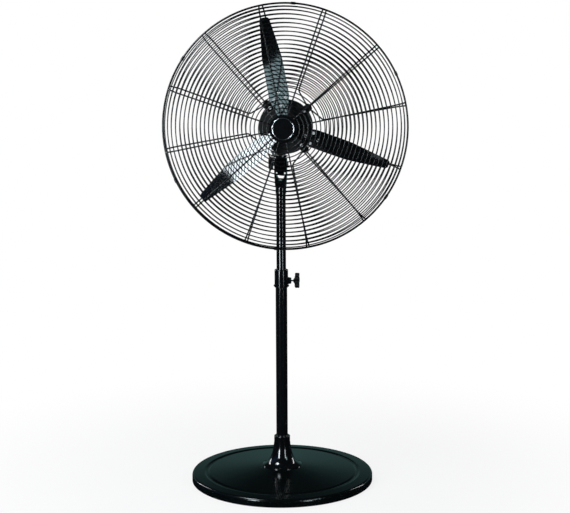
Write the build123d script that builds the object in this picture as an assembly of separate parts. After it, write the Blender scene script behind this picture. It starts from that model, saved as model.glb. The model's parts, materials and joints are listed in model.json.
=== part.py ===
from build123d import *
from math import acos, atan2, cos, degrees, hypot, radians, sin, sqrt
import os

# A three-blade pedestal fan with an oscillating head. Millimetres, +Z up.
# The origin is on the floor on the pole's axis, the front faces -Y and +X is the viewer's right.
# Head pieces are drawn in the head's own frame: X right, Y up, Z forwards along the fan's axis.

# Clearances
SLIDE_GAP = 0.3
RUN_GAP = 0.06
SEAT_GAP = 0.02
BUSH_GAP = 0.1

# Shared shapes
SCREW_CROWN_SHARE = 0.45
DIAGONAL = 45.0

# Base
BASE_RADIUS = 308.0
BASE_WALL = 3.5
BASE_EDGE_LIFT = 2.0
BASE_SIDE_TOP = 28.0
BASE_BAND_WIDTH = 42.0
BASE_BAND_TOP = 31.0
BASE_CHANNEL_WIDTH = 18.0
BASE_CHANNEL_DEPTH = 4.0
BASE_CROWN_TOP = 50.0
BASE_CROWN_RADIUS = 72.0
BASE_EDGE_ROUND = 9.0
BASE_CHANNEL_ROUND = 10.0
BASE_RIB_COUNT = 6
BASE_RIB_WIDTH = 5.0
BASE_RIB_DEPTH = 8.0
FOOT_RADIUS = 12.0
FOOT_HEIGHT = 6.0
FOOT_INSET = 32.0

# Pole socket under the bell
SOCKET_FLANGE_RADIUS = 50.0
SOCKET_FLANGE = 6.0
SOCKET_WALL = 4.5
SOCKET_HEIGHT = 66.0
SOCKET_BOLT_CIRCLE = 38.0
SOCKET_BOLT_COUNT = 4
SOCKET_BOLT_RADIUS = 3.0
SOCKET_BOLT_ACROSS = 10.0
SOCKET_BOLT_HEAD = 4.0
SOCKET_NUT_HEIGHT = 5.0
GRUB_RADIUS = 3.0
GRUB_DROP = 14.0

# Bell cover
BELL_FOOT_RADIUS = 67.0
BELL_BRIM = 2.5
BELL_TOP_RADIUS = 27.0
BELL_HEIGHT = 103.0
BELL_BAND = 18.0
BELL_WAIST_RADIUS = 34.0
BELL_WAIST_DROP = 60.0
BELL_WALL = 2.0
BELL_FOOT_HEADING = (-1.0, 0.35)
BELL_NECK_HEADING = (-0.1, 1.0)

# Poles and height clamp
LOWER_POLE_RADIUS = 19.5
UPPER_POLE_RADIUS = 16.0
POLE_WALL = 1.5
LOWER_POLE_LENGTH = 649.0
UPPER_POLE_LENGTH = 620.0
POLE_SHOWN = 254.5
COLLAR_RADIUS = 22.8
COLLAR_HEIGHT = 60.5
COLLAR_DEPTH = 38.0
COLLAR_LIP = 3.5
COLLAR_LIP_GAP = 0.8
COLLAR_ROUND = 3.0
CLAMP_RISE = 22.0
CLAMP_BOSS_WIDTH = 22.0
CLAMP_BOSS_HEIGHT = 23.0
CLAMP_BOSS_REACH = 10.5
CLAMP_BOSS_DRAFT = 12.0
CLAMP_BOSS_ROUND = 4.0
CLAMP_SCREW_RADIUS = 2.5
CLAMP_SCREW_SHOWN = 7.0
COLLAR_SCREW_RISE = 5.0
COLLAR_SCREW_RADIUS = 2.0
COLLAR_SCREW_HEAD_RADIUS = 3.4
COLLAR_SCREW_HEAD = 3.0
PLUG_FLANGE = 20.0
PLUG_STEM = 25.0

# Star knobs
KNOB_LOBES = 5
KNOB_THICKNESS = 14.5
HEIGHT_KNOB_RADIUS = 26.5
HEIGHT_KNOB_HUB = 5.5
TILT_KNOB_RADIUS = 22.5
TILT_KNOB_HUB = 3.0
KNOB_CORE_SHARE = 0.6
KNOB_LOBE_SHARE = 0.3
KNOB_HUB_RADIUS = 5.0
KNOB_VALLEY_SHARE = 0.12
KNOB_EDGE_ROUND = 2.0
KNOB_FIRST_LOBE = 90.0
KNOB_FACE = 4.0

# Yoke and tilt joint
YOKE_SLEEVE_LENGTH = 44.0
YOKE_WALL = 1.8
YOKE_CROWN = 6.0
YOKE_ROOT = 20.0
YOKE_EAR = 4.0
YOKE_INNER = 33.0
YOKE_VEE = 23.0
YOKE_VEE_FLAT = 10.0
YOKE_EAR_RADIUS = 19.0
YOKE_SCREW_RADIUS = 2.5
YOKE_SCREW_HEAD_RADIUS = 4.5
YOKE_SCREW_HEAD = 3.0
YOKE_SCREW_RISES = (12.0, 28.0)
TILT_RISE = 56.0
TILT_BOLT_RADIUS = 4.0
TILT_HEAD_RADIUS = 8.0
TILT_HEAD = 5.0
TILT_WASHER_RADIUS = 10.0
TILT_WASHER = 1.6
TILT_NUT_ACROSS = 13.0
TILT_NUT_HEIGHT = 7.0

# Neck and swivel
NECK_RISE = 28.0
NECK_WIDTH = 22.0
NECK_DEPTH = 30.0
NECK_DROP = 37.0
NECK_CHEEK_RADIUS = 29.0
NECK_FLANGE_RADIUS = 23.0
NECK_FLANGE = 5.0
SWIVEL_PIN_RADIUS = 6.0
SWIVEL_PIN_DEPTH = 19.0
SWIVEL_PIN_RISE = 24.0
SWIVEL_BUSH_WALL = 2.0
SWIVEL_BUSH_FLANGE_RADIUS = 11.0
SWIVEL_BUSH_FLANGE = 1.5
SWIVEL_BOSS_RADIUS = 16.0

# Head axis
HEAD_RISE = 98.0
HEAD_OFFSET = 22.0

# Motor, with places along the fan's axis from the pole's axis, forwards positive
FLANGE_FRONT = 60.0
FLANGE_RADIUS = 88.5
FLANGE_THICKNESS = 6.0
MOTOR_RADIUS = 75.0
MOTOR_WALL = 4.0
MOTOR_SPLIT = -25.0
MOTOR_BACK = -65.0
MOTOR_BACK_WALL = 5.0
MOTOR_BACK_CHAMFER = 7.0
MOTOR_RIB_COUNT = 24
MOTOR_RIB = 2.5
MOTOR_LUG_CIRCLE = 80.0
MOTOR_LUG_RADIUS = 6.0
MOTOR_LUG_LENGTH = 15.0
MOTOR_LUG_COUNT = 4
MOTOR_BOLT_RADIUS = 2.5
MOTOR_BOLT_ACROSS = 8.0
MOTOR_BOLT_HEAD = 3.5
VENT_COUNT = 12
VENT_INNER = 46.0
VENT_OUTER = 62.0
VENT_WIDTH = 5.0
BEARING_RADIUS = 16.0
BEARING_WIDTH = 10.0
BEARING_SEAT_WALL = 5.0
BEARING_SHOULDER = 3.0
BEARING_RACE = 3.0
BEARING_GROOVE = 1.2
SHAFT_RADIUS = 6.0
SHAFT_BACK = -95.0
ROTOR_CORE_RADIUS = 41.8
ROTOR_CORE_LENGTH = 44.0
AIR_GAP = 0.5
STATOR_BACK = -22.0
STATOR_LENGTH = 45.0
STATOR_SLOTS = 24
STATOR_SLOT_DEPTH = 14.0
STATOR_SLOT_WIDTH = 5.0
COIL_INNER = 46.0
COIL_OUTER = 62.0
COIL_HEIGHT = 13.0
COIL_BEVEL = 4.0

# Oscillation drive
GEARBOX_WIDTH = 64.0
GEARBOX_TOP = 34.0
GEARBOX_BOTTOM = -56.0
GEARBOX_LENGTH = 70.0
GEARBOX_ROUND = 8.0
GEARBOX_FOOT_RADIUS = 16.0
LID_THICKNESS = 4.0
LID_SCREW_INSET = 7.0
LID_SCREW_RADIUS = 2.0
LID_SCREW_HEAD_RADIUS = 3.8
LID_SCREW_HEAD = 2.5
LID_SCREW_LENGTH = 12.0
CRANK_BACK = 118.0
SWING_REACH = 45.0
LINK_LEAD = 80.0
LINK_STUD_RADIUS = 28.0
LINK_EYE_RADIUS = 8.0
LINK_THICKNESS = 5.0
LINK_WIDTH = 9.0
LINK_PIN_RADIUS = 4.0
LINK_STUD_SHANK = 3.0
LINK_STUD_HEAD = 5.5
CRANK_THICKNESS = 5.0
CRANK_MARGIN = 7.0
CRANK_GAP = 0.4
CRANK_SPINDLE_RADIUS = 5.0
CRANK_SPINDLE_LENGTH = 20.0
CRANK_PIN_HEAD_RADIUS = 6.0
CRANK_PIN_HEAD = 1.5
PLUNGER_BACK = 100.0
PLUNGER_STEM_RADIUS = 4.0
PLUNGER_STEM_DEPTH = 20.0
PLUNGER_STEM_SHOWN = 6.0
PLUNGER_KNOB_RADIUS = 10.0
PLUNGER_KNOB_HEIGHT = 14.0
PLUNGER_KNOB_ROUND = 4.0

# Controls
SWITCH_BOX_WIDTH = 60.0
SWITCH_BOX_HEIGHT = 82.0
SWITCH_BOX_LENGTH = 34.0
SWITCH_BOX_WALL = 2.5
SWITCH_BOX_ROUND = 10.0
SWITCH_DROP = 26.0
SWITCH_SIZE = 30.0
SWITCH_LENGTH = 18.0
SWITCH_SHAFT_RADIUS = 3.0
SWITCH_SHAFT_LENGTH = 12.0
SPEED_KNOB_RADIUS = 17.0
SPEED_KNOB_HEIGHT = 15.0
SPEED_KNOB_DRAFT = 8.0
SPEED_KNOB_GRIP = 7.0
SPEED_KNOB_ROUND = 2.2
CAPACITOR_WIDTH = 46.0
CAPACITOR_HEIGHT = 22.0
CAPACITOR_LENGTH = 18.0
CAPACITOR_RISE = 10.0
GLAND_RADIUS = 8.0
GLAND_LENGTH = 18.0
GLAND_NECK = 6.0
GLAND_BORE = 3.8
GLAND_ACROSS = 20.0
GLAND_HEX = 6.0

# Guards, drawn as (radius, place along the axis)
RIM_PLANE = 115.0
RIM_WIRE = 3.0
RIM_RADIUS = 394.5
RIM_GAP = 0.1
SPOKE_WIRE = 2.4
RING_WIRE = 1.8
WIRE_SIDES = 8
WELD_GAP = 0.05
RING_PITCH = 13.4
SPOKE_COUNT = 12
SPOKE_PHASE = -10.8
FRONT_TURN = -0.9
REAR_TURN = 0.6
SHOULDER_INSET = 22.5
SHOULDER_ROUND = 45.0
FRONT_SHOULDER = 38.0
FRONT_CENTRE = 56.0
FRONT_SPOKE_START = 30.0
FRONT_RING_START = 52.0
REAR_SHOULDER = 42.0
REAR_RING_START = 132.0
REAR_BEND_RADIUS = 124.0
REAR_BEND_ROUND = 14.0
REAR_SPOKE_START = 90.0
REAR_SPOKE_SIDE = 7.0
GUARD_FOOT_COUNT = 4
GUARD_FOOT = 2.0
GUARD_FOOT_WIDTH = 26.0
GUARD_FOOT_INNER = 71.0
GUARD_FOOT_OUTER = 106.0
GUARD_FOOT_ROUND = 9.0
GUARD_SCREW_CIRCLE = 79.0
GUARD_SCREW_RADIUS = 2.5
GUARD_SCREW_HEAD_RADIUS = 5.0
GUARD_SCREW_HEAD = 3.2
FRONT_PLATE_RADIUS = 45.0
FRONT_PLATE = 2.0
CAP_RADIUS = 37.0
CAP_HEIGHT = 6.0
CAP_BEVEL = 4.0
CAP_FACE_DROP = 1.5
CAP_FACE_RADIUS = 31.0
CLIP_COUNT = 6
CLIP_WALL = 1.2
CLIP_WIDTH = 14.0
CLIP_GAP = 0.12

# Blades, drawn flat with Y along the radius and then pitched about it
BLADE_COUNT = 3
BLADE_PHASE = -10.5
BLADE_PITCH = 30.0
BLADE_UNTWIST = 12.0
BLADE_SHEET = 1.8
BLADE_CAMBER = 6.0
BLADE_ROOT_CAMBER = 0.006
BLADE_ROOT = 62.0
BLADE_FLAT_END = 124.0
BLADE_CLEARANCE = 36.5
BLADE_CHORD = 72.0
BLADE_ROOT_CHORD = 52.0
BLADE_WIDEST_FROM = 100.0
BLADE_WIDEST_TO = 222.0
BLADE_SHOULDER_CHORD = 55.0
BLADE_TIP_LENGTH = 68.0
BLADE_TIP_CHORD = 28.0
BLADE_ROUNDS = (14.0, 60.0, 90.0, 60.0, 12.0)
HUB_RADIUS = 22.0
HUB_LENGTH = 36.0
ARM_SHEET = 4.0
ARM_ROOT_WIDTH = 26.0
ARM_WIDTH = 50.0
ARM_WAIST = 70.0
ARM_SHOULDER = 100.0
ARM_END = 122.0
ARM_END_WIDTH = 18.0
ARM_ROUND = 6.0
RIVET_RADIUS = 2.5
RIVET_HEAD_RADIUS = 5.0
RIVET_HEAD = 2.0
RIVET_ACROSS = 42.0
RIVET_ALONG = 42.0
RIVET_CENTRE = 94.0

# Places that follow from the sizes
SOCKET_FLOOR = BASE_CROWN_TOP + SOCKET_FLANGE
LOWER_POLE_TOP = SOCKET_FLOOR + LOWER_POLE_LENGTH
COLLAR_BOTTOM = LOWER_POLE_TOP - COLLAR_DEPTH
COLLAR_TOP = COLLAR_BOTTOM + COLLAR_HEIGHT
CLAMP_Z = COLLAR_BOTTOM + CLAMP_RISE
CLAMP_FACE = COLLAR_RADIUS + CLAMP_BOSS_REACH
HEIGHT_KNOB_X = CLAMP_FACE + CLAMP_SCREW_SHOWN
COLLAR_BORE = LOWER_POLE_RADIUS + SEAT_GAP
YOKE_BOTTOM = COLLAR_TOP + POLE_SHOWN
YOKE_NOTCH = YOKE_BOTTOM + YOKE_SLEEVE_LENGTH
UPPER_POLE_TOP = YOKE_NOTCH - YOKE_CROWN
UPPER_POLE_BOTTOM = UPPER_POLE_TOP - UPPER_POLE_LENGTH
YOKE_RADIUS = UPPER_POLE_RADIUS + SEAT_GAP + YOKE_WALL
YOKE_OUTER = YOKE_INNER + 2 * YOKE_EAR
TILT_Z = YOKE_NOTCH + TILT_RISE
NECK_TOP = TILT_Z + NECK_RISE
SWIVEL_FACE = NECK_TOP + SWIVEL_BUSH_FLANGE + SLIDE_GAP
HEAD_Z = NECK_TOP + HEAD_RISE
HEAD = Pos(HEAD_OFFSET, 0, HEAD_Z) * Rot(90, 0, 0)
FRONT_RIM = RIM_PLANE + RIM_WIRE + RIM_GAP
REAR_RIM = RIM_PLANE - RIM_WIRE - RIM_GAP
SHOULDER_RADIUS = RIM_RADIUS - SHOULDER_INSET
BLADE_TIP = RIM_RADIUS - BLADE_CLEARANCE
BLADE_SHOULDER = BLADE_TIP - BLADE_TIP_LENGTH
FOOT_FACE = FLANGE_FRONT + GUARD_FOOT
REAR_CENTRE = FOOT_FACE + SPOKE_WIRE + WELD_GAP
PLATE_BACK = RIM_PLANE + FRONT_CENTRE + SPOKE_WIRE + WELD_GAP
CAP_BACK = PLATE_BACK + FRONT_PLATE
HUB_BACK = RIM_PLANE - HUB_LENGTH / 2
HUB_FRONT = RIM_PLANE + HUB_LENGTH / 2
FRONT_BEARING = FLANGE_FRONT - FLANGE_THICKNESS - BEARING_WIDTH + BEARING_SHOULDER
REAR_BEARING = MOTOR_BACK + MOTOR_BACK_WALL
STATOR_FRONT = STATOR_BACK + STATOR_LENGTH
GEARBOX_BACK = MOTOR_BACK - GEARBOX_LENGTH
LID_BACK = GEARBOX_BACK - LID_THICKNESS
BOX_BACK = LID_BACK - SWITCH_BOX_LENGTH
BOX_Y = (GEARBOX_TOP + GEARBOX_BOTTOM) / 2
SWITCH_Y = BOX_Y - SWITCH_DROP / 2
LINK_BOTTOM = NECK_TOP + SWIVEL_BUSH_FLANGE + LINK_STUD_HEAD
LINK_TOP = LINK_BOTTOM + LINK_THICKNESS
CRANK_BOTTOM = LINK_TOP + CRANK_GAP
CRANK_TOP = CRANK_BOTTOM + CRANK_THICKNESS

# Oscillation linkage, seen from above at rest
CRANK_REACH = hypot(HEAD_OFFSET, CRANK_BACK)
CRANK_BEARING = degrees(atan2(CRANK_BACK, HEAD_OFFSET))


def link_span(angle):
    """Distance from the link's stud to the crank's axis, this angle apart at the pole's axis."""
    squares = CRANK_REACH ** 2 + LINK_STUD_RADIUS ** 2
    return sqrt(squares - 2 * CRANK_REACH * LINK_STUD_RADIUS * cos(radians(angle)))


SPAN_NEAR = link_span(LINK_LEAD - SWING_REACH)
SPAN_FAR = link_span(LINK_LEAD + SWING_REACH)
SPAN_REST = link_span(LINK_LEAD)
CRANK_THROW = (SPAN_FAR - SPAN_NEAR) / 2
LINK_LENGTH = (SPAN_FAR + SPAN_NEAR) / 2
STUD_BEARING = radians(CRANK_BEARING + LINK_LEAD)
STUD_X = LINK_STUD_RADIUS * cos(STUD_BEARING)
STUD_Y = LINK_STUD_RADIUS * sin(STUD_BEARING)
STUD_SIGHT = atan2(STUD_Y - CRANK_BACK, STUD_X - HEAD_OFFSET)
CRANK_COSINE = (CRANK_THROW ** 2 + SPAN_REST ** 2 - LINK_LENGTH ** 2) / (2 * CRANK_THROW * SPAN_REST)
PIN_SIGHT = STUD_SIGHT - acos(CRANK_COSINE)
PIN_X = HEAD_OFFSET + CRANK_THROW * cos(PIN_SIGHT)
PIN_Y = CRANK_BACK + CRANK_THROW * sin(PIN_SIGHT)


def rod(radius, low, high):
    """Round bar along Z between two heights."""
    return Pos(0, 0, (low + high) / 2) * Cylinder(radius, high - low)


def tube(outer, inner, low, high):
    """Round tube along Z between two heights."""
    return rod(outer, low, high) - rod(inner, low, high)


def rounded(section, corner, radius):
    """The flat section with the corner nearest to a point rounded."""
    nearest = section.vertices().sort_by_distance((*corner, 0))[0]
    return fillet(nearest, radius)


def turned(corners, rounds=()):
    """Solid turned about Z from (radius, height) corners, some of them rounded."""
    section = make_face(Polyline(*corners, close=True))
    for corner, radius in rounds:
        section = rounded(section, corner, radius)
    return Rot(90, 0, 0) * revolve(section, Axis.Y)


def to_x(shape):
    """Turns a shape from Z to +X."""
    return Rot(0, 90, 0) * shape


def to_y(shape):
    """Turns a shape from Z to +Y."""
    return Rot(-90, 0, 0) * shape


def slab(width, depth, low, high):
    """Block about the Z axis between two heights."""
    return Pos(0, 0, (low + high) / 2) * Box(width, depth, high - low)


def hexagon(across, low, high):
    """Hexagonal prism along Z between two heights."""
    return Pos(0, 0, low) * extrude(RegularPolygon(across / 2, 6, major_radius=False), high - low)


def pan_screw(radius, length, head_radius, head):
    """Screw along Z with its domed head above zero."""
    dome = rod(head_radius, 0, head)
    crown = dome.edges().group_by(Axis.Z)[-1]
    return fillet(crown, SCREW_CROWN_SHARE * head) + rod(radius, -length, 0)


def spun(shape, count, phase=0.0):
    """Copies of a shape about Z, evenly spaced, the first turned clockwise by the phase."""
    return [Rot(0, 0, -phase - index * 360 / count) * shape for index in range(count)]


def group(shapes):
    """Separate solids kept together as one node."""
    return Compound(children=[solid for shape in shapes for solid in shape.solids()])


def joined(shapes):
    """One solid from several that touch."""
    first, *others = shapes
    for other in others:
        first = first + other
    return first


# Stand


def base_dish():
    """Cast dish with a rim band, a shallow channel inside it, a low crown and ribs underneath."""
    band_inner = BASE_RADIUS - BASE_BAND_WIDTH
    channel_mid = band_inner - BASE_CHANNEL_WIDTH / 2
    channel_inner = band_inner - BASE_CHANNEL_WIDTH
    channel_floor = BASE_BAND_TOP - BASE_CHANNEL_DEPTH
    skin = [
        (0, BASE_CROWN_TOP),
        (BASE_CROWN_RADIUS, BASE_CROWN_TOP),
        (channel_inner, BASE_BAND_TOP),
        (channel_mid, channel_floor),
        (band_inner, BASE_BAND_TOP),
        (BASE_RADIUS, BASE_SIDE_TOP),
    ]
    under = [(radius, height - BASE_WALL) for radius, height in skin[:-1]]
    inner_radius = BASE_RADIUS - BASE_WALL
    under.append((inner_radius, BASE_SIDE_TOP - BASE_WALL))
    edge = [(BASE_RADIUS, BASE_EDGE_LIFT), (inner_radius, BASE_EDGE_LIFT)]
    rounds = [(skin[-1], BASE_EDGE_ROUND), (under[-1], BASE_EDGE_ROUND - BASE_WALL)]
    rounds += [(corner, BASE_CHANNEL_ROUND) for corner in skin[2:5]]
    dish = turned(skin + edge + under[::-1], rounds)
    rib_edge = [(radius, height - BASE_RIB_DEPTH) for radius, height in under]
    rib = Pos(inner_radius / 2, 0, 0) * slab(inner_radius, BASE_RIB_WIDTH, 0, BASE_CROWN_TOP)
    rib_space = turned(under + rib_edge[::-1])
    ribs = [copy & rib_space for copy in spun(rib, BASE_RIB_COUNT)]
    pad = Pos(BASE_RADIUS - FOOT_INSET, 0, 0) * rod(FOOT_RADIUS, FOOT_HEIGHT, BASE_BAND_TOP)
    pad_space = turned(under + [(inner_radius, FOOT_HEIGHT), (0, FOOT_HEIGHT)])
    pads = [copy & pad_space for copy in spun(pad, BASE_RIB_COUNT)]
    bolt_hole = rod(SOCKET_BOLT_RADIUS + SEAT_GAP, 0, BASE_CROWN_TOP)
    nut_room = rod(SOCKET_BOLT_ACROSS, 0, BASE_CROWN_TOP - BASE_WALL)
    body = joined([dish, *ribs, *pads])
    for cut in (bolt_hole, nut_room):
        for copy in spun(Pos(SOCKET_BOLT_CIRCLE, 0, 0) * cut, SOCKET_BOLT_COUNT, DIAGONAL):
            body -= copy
    return body


def base_feet():
    """Rubber pads that the dish stands on."""
    foot = rod(FOOT_RADIUS, 0, FOOT_HEIGHT)
    foot = chamfer(foot.edges().group_by(Axis.Z)[0], FOOT_HEIGHT / 4)
    return group(spun(Pos(BASE_RADIUS - FOOT_INSET, 0, 0) * foot, BASE_RIB_COUNT))


def pole_socket():
    """Flanged socket that holds the lower pole, hidden by the bell."""
    outer = LOWER_POLE_RADIUS + SEAT_GAP + SOCKET_WALL
    flange = rod(SOCKET_FLANGE_RADIUS, BASE_CROWN_TOP, SOCKET_FLOOR)
    socket = flange + rod(outer, SOCKET_FLOOR, SOCKET_FLOOR + SOCKET_HEIGHT)
    socket -= rod(LOWER_POLE_RADIUS + SEAT_GAP, SOCKET_FLOOR, SOCKET_FLOOR + SOCKET_HEIGHT)
    hole = Pos(SOCKET_BOLT_CIRCLE, 0, 0) * rod(SOCKET_BOLT_RADIUS + SEAT_GAP, 0, SOCKET_FLOOR)
    for copy in spun(hole, SOCKET_BOLT_COUNT, DIAGONAL):
        socket -= copy
    for copy in grub_places(rod(GRUB_RADIUS + SEAT_GAP, 0, 2 * outer)):
        socket -= copy
    return socket


def grub_places(shape):
    """A shape along +X repeated on both sides of the socket at the grub screws' height."""
    height = SOCKET_FLOOR + SOCKET_HEIGHT - GRUB_DROP
    return [Pos(0, 0, height) * turn for turn in spun(to_x(shape), 2, 90)]


def socket_grubs():
    """Grub screws that lock the lower pole in its socket."""
    inner = LOWER_POLE_RADIUS + SEAT_GAP
    return group(grub_places(rod(GRUB_RADIUS, inner, inner + SOCKET_WALL)))


def socket_bolts():
    """Hexagon bolts through the socket's flange and the dish."""
    bottom = BASE_CROWN_TOP - BASE_WALL - SOCKET_NUT_HEIGHT - SOCKET_BOLT_RADIUS
    bolt = rod(SOCKET_BOLT_RADIUS, bottom, SOCKET_FLOOR)
    bolt += hexagon(SOCKET_BOLT_ACROSS, SOCKET_FLOOR, SOCKET_FLOOR + SOCKET_BOLT_HEAD)
    return group(spun(Pos(SOCKET_BOLT_CIRCLE, 0, 0) * bolt, SOCKET_BOLT_COUNT, DIAGONAL))


def socket_nuts():
    """Nuts on the socket bolts under the dish."""
    top = BASE_CROWN_TOP - BASE_WALL
    nut = hexagon(SOCKET_BOLT_ACROSS, top - SOCKET_NUT_HEIGHT, top)
    nut -= rod(SOCKET_BOLT_RADIUS + SEAT_GAP, 0, top)
    return group(spun(Pos(SOCKET_BOLT_CIRCLE, 0, 0) * nut, SOCKET_BOLT_COUNT, DIAGONAL))


def bell_line(inset):
    """The trumpet's side from its brim up to the top band, moved in by the wall."""
    brim_top = BASE_CROWN_TOP + BELL_BRIM
    waist = BASE_CROWN_TOP + BELL_HEIGHT - BELL_WAIST_DROP
    band = BASE_CROWN_TOP + BELL_HEIGHT - BELL_BAND
    return Spline(
        (BELL_FOOT_RADIUS - inset, brim_top),
        (BELL_WAIST_RADIUS - inset, waist),
        (BELL_TOP_RADIUS - inset, band),
        tangents=[BELL_FOOT_HEADING, BELL_NECK_HEADING],
    )


def bell_cover():
    """Trumpet-shaped cover that sits on the dish round the pole."""
    low = BASE_CROWN_TOP
    top = BASE_CROWN_TOP + BELL_HEIGHT
    outer = bell_line(0)
    inner = bell_line(BELL_WALL)
    bore = LOWER_POLE_RADIUS + SLIDE_GAP
    inside_top = top - BELL_WALL
    shell = [
        Line((BELL_FOOT_RADIUS, low), outer @ 0),
        outer,
        Line(outer @ 1, (BELL_TOP_RADIUS, top)),
        Line((BELL_TOP_RADIUS, top), (bore, top)),
        Line((bore, top), (bore, inside_top)),
        Line((bore, inside_top), (BELL_TOP_RADIUS - BELL_WALL, inside_top)),
        Line((BELL_TOP_RADIUS - BELL_WALL, inside_top), inner @ 1),
        inner,
        Line(inner @ 0, (BELL_FOOT_RADIUS - BELL_WALL, low)),
        Line((BELL_FOOT_RADIUS - BELL_WALL, low), (BELL_FOOT_RADIUS, low)),
    ]
    section = rounded(make_face(shell), (BELL_TOP_RADIUS, top), BELL_WALL)
    return Rot(90, 0, 0) * revolve(section, Axis.Y)


def collar_screw_places(shape):
    """A shape along +X repeated on both sides of the collar at the collar screws' height."""
    return [Pos(0, 0, COLLAR_BOTTOM + COLLAR_SCREW_RISE) * turn for turn in spun(to_x(shape), 2)]


def lower_pole():
    """Outer pole, drilled for the clamp screw and the collar screws."""
    pole = tube(LOWER_POLE_RADIUS, LOWER_POLE_RADIUS - POLE_WALL, SOCKET_FLOOR, LOWER_POLE_TOP)
    pole -= Pos(0, 0, CLAMP_Z) * to_x(rod(CLAMP_SCREW_RADIUS + SLIDE_GAP, 0, COLLAR_RADIUS))
    for hole in collar_screw_places(rod(COLLAR_SCREW_RADIUS + SEAT_GAP, 0, COLLAR_RADIUS)):
        pole -= hole
    return pole


def pole_collar():
    """Clamp collar on the lower pole's end, with a tapered boss for the clamp screw."""
    lip = UPPER_POLE_RADIUS + COLLAR_LIP_GAP
    corner = (COLLAR_RADIUS, COLLAR_TOP)
    body = turned(
        [(0, COLLAR_BOTTOM), (COLLAR_RADIUS, COLLAR_BOTTOM), corner, (0, COLLAR_TOP)],
        [(corner, COLLAR_ROUND)],
    )
    outline = RectangleRounded(CLAMP_BOSS_HEIGHT, CLAMP_BOSS_WIDTH, CLAMP_BOSS_ROUND)
    boss = extrude(outline, CLAMP_BOSS_REACH + POLE_WALL, taper=CLAMP_BOSS_DRAFT)
    root = extrude(outline, LOWER_POLE_RADIUS)
    start = COLLAR_RADIUS - POLE_WALL
    body += Pos(0, 0, CLAMP_Z) * to_x(Pos(0, 0, start) * boss)
    body += Pos(0, 0, CLAMP_Z) * to_x(Pos(0, 0, start - LOWER_POLE_RADIUS) * root)
    body -= rod(COLLAR_BORE, COLLAR_BOTTOM, COLLAR_TOP - COLLAR_LIP)
    body -= rod(lip, COLLAR_BOTTOM, COLLAR_TOP)
    body -= Pos(0, 0, CLAMP_Z) * to_x(rod(CLAMP_SCREW_RADIUS + RUN_GAP, 0, CLAMP_FACE))
    for hole in collar_screw_places(rod(COLLAR_SCREW_RADIUS + SEAT_GAP, 0, COLLAR_RADIUS)):
        body -= hole
    return body


def collar_screws():
    """Short screws that fix the collar to the lower pole."""
    reach = COLLAR_RADIUS - LOWER_POLE_RADIUS + POLE_WALL
    screw = pan_screw(COLLAR_SCREW_RADIUS, reach, COLLAR_SCREW_HEAD_RADIUS, COLLAR_SCREW_HEAD)
    return group(collar_screw_places(Pos(0, 0, COLLAR_RADIUS) * screw))


def guide_bush():
    """Plastic ring trapped in the collar, in which the upper pole slides and turns."""
    low = LOWER_POLE_TOP + SLIDE_GAP
    high = COLLAR_TOP - COLLAR_LIP - SLIDE_GAP
    return tube(COLLAR_BORE - BUSH_GAP, UPPER_POLE_RADIUS + BUSH_GAP, low, high)


def star_knob(radius, hub):
    """Lobed hand knob along Z with a conical hub at its inner end, at height zero."""
    core = KNOB_CORE_SHARE * radius
    lobe = KNOB_LOBE_SHARE * radius
    outline = Circle(core) + PolarLocations(radius - lobe, KNOB_LOBES, KNOB_FIRST_LOBE) * Circle(lobe)
    outline = fillet(outline.vertices(), KNOB_VALLEY_SHARE * radius)
    grip = extrude(outline, KNOB_THICKNESS)
    rims = grip.edges().group_by(Axis.Z)
    grip = fillet(rims[0] + rims[-1], KNOB_EDGE_ROUND)
    cone = Pos(0, 0, hub / 2) * Cone(KNOB_HUB_RADIUS + SEAT_GAP, core - 2 * KNOB_EDGE_ROUND, hub)
    return Pos(0, 0, hub) * grip + cone


def height_knob():
    """Star knob of the height clamp."""
    length = HEIGHT_KNOB_HUB + KNOB_THICKNESS - KNOB_FACE
    knob = star_knob(HEIGHT_KNOB_RADIUS, HEIGHT_KNOB_HUB)
    knob -= rod(CLAMP_SCREW_RADIUS + SEAT_GAP, 0, length)
    return Pos(HEIGHT_KNOB_X, 0, CLAMP_Z) * to_x(knob)


def height_screw():
    """Screw of the height clamp, from the upper pole's side into the knob."""
    start = UPPER_POLE_RADIUS + SLIDE_GAP
    end = HEIGHT_KNOB_X + HEIGHT_KNOB_HUB + KNOB_THICKNESS - KNOB_FACE
    return Pos(0, 0, CLAMP_Z) * to_x(rod(CLAMP_SCREW_RADIUS, start, end))


# Mast


def yoke_screw_places(shape):
    """A shape along +Y at each of the yoke screws' heights."""
    return [Pos(0, 0, YOKE_BOTTOM + rise) * to_y(shape) for rise in YOKE_SCREW_RISES]


def upper_pole():
    """Inner pole that slides in the collar and carries the yoke."""
    inner = UPPER_POLE_RADIUS - POLE_WALL
    pole = tube(UPPER_POLE_RADIUS, inner, UPPER_POLE_BOTTOM, UPPER_POLE_TOP)
    for hole in yoke_screw_places(rod(YOKE_SCREW_RADIUS + SEAT_GAP, 0, YOKE_RADIUS)):
        pole -= hole
    return pole


def pole_plug():
    """Plastic plug in the upper pole's lower end, which guides it in the lower pole."""
    stem = UPPER_POLE_RADIUS - POLE_WALL - SEAT_GAP
    flange = LOWER_POLE_RADIUS - POLE_WALL - SLIDE_GAP
    plug = rod(flange, UPPER_POLE_BOTTOM - PLUG_FLANGE, UPPER_POLE_BOTTOM)
    plug = chamfer(plug.edges().group_by(Axis.Z)[0], POLE_WALL)
    return plug + rod(stem, UPPER_POLE_BOTTOM, UPPER_POLE_BOTTOM + PLUG_STEM)


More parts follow.
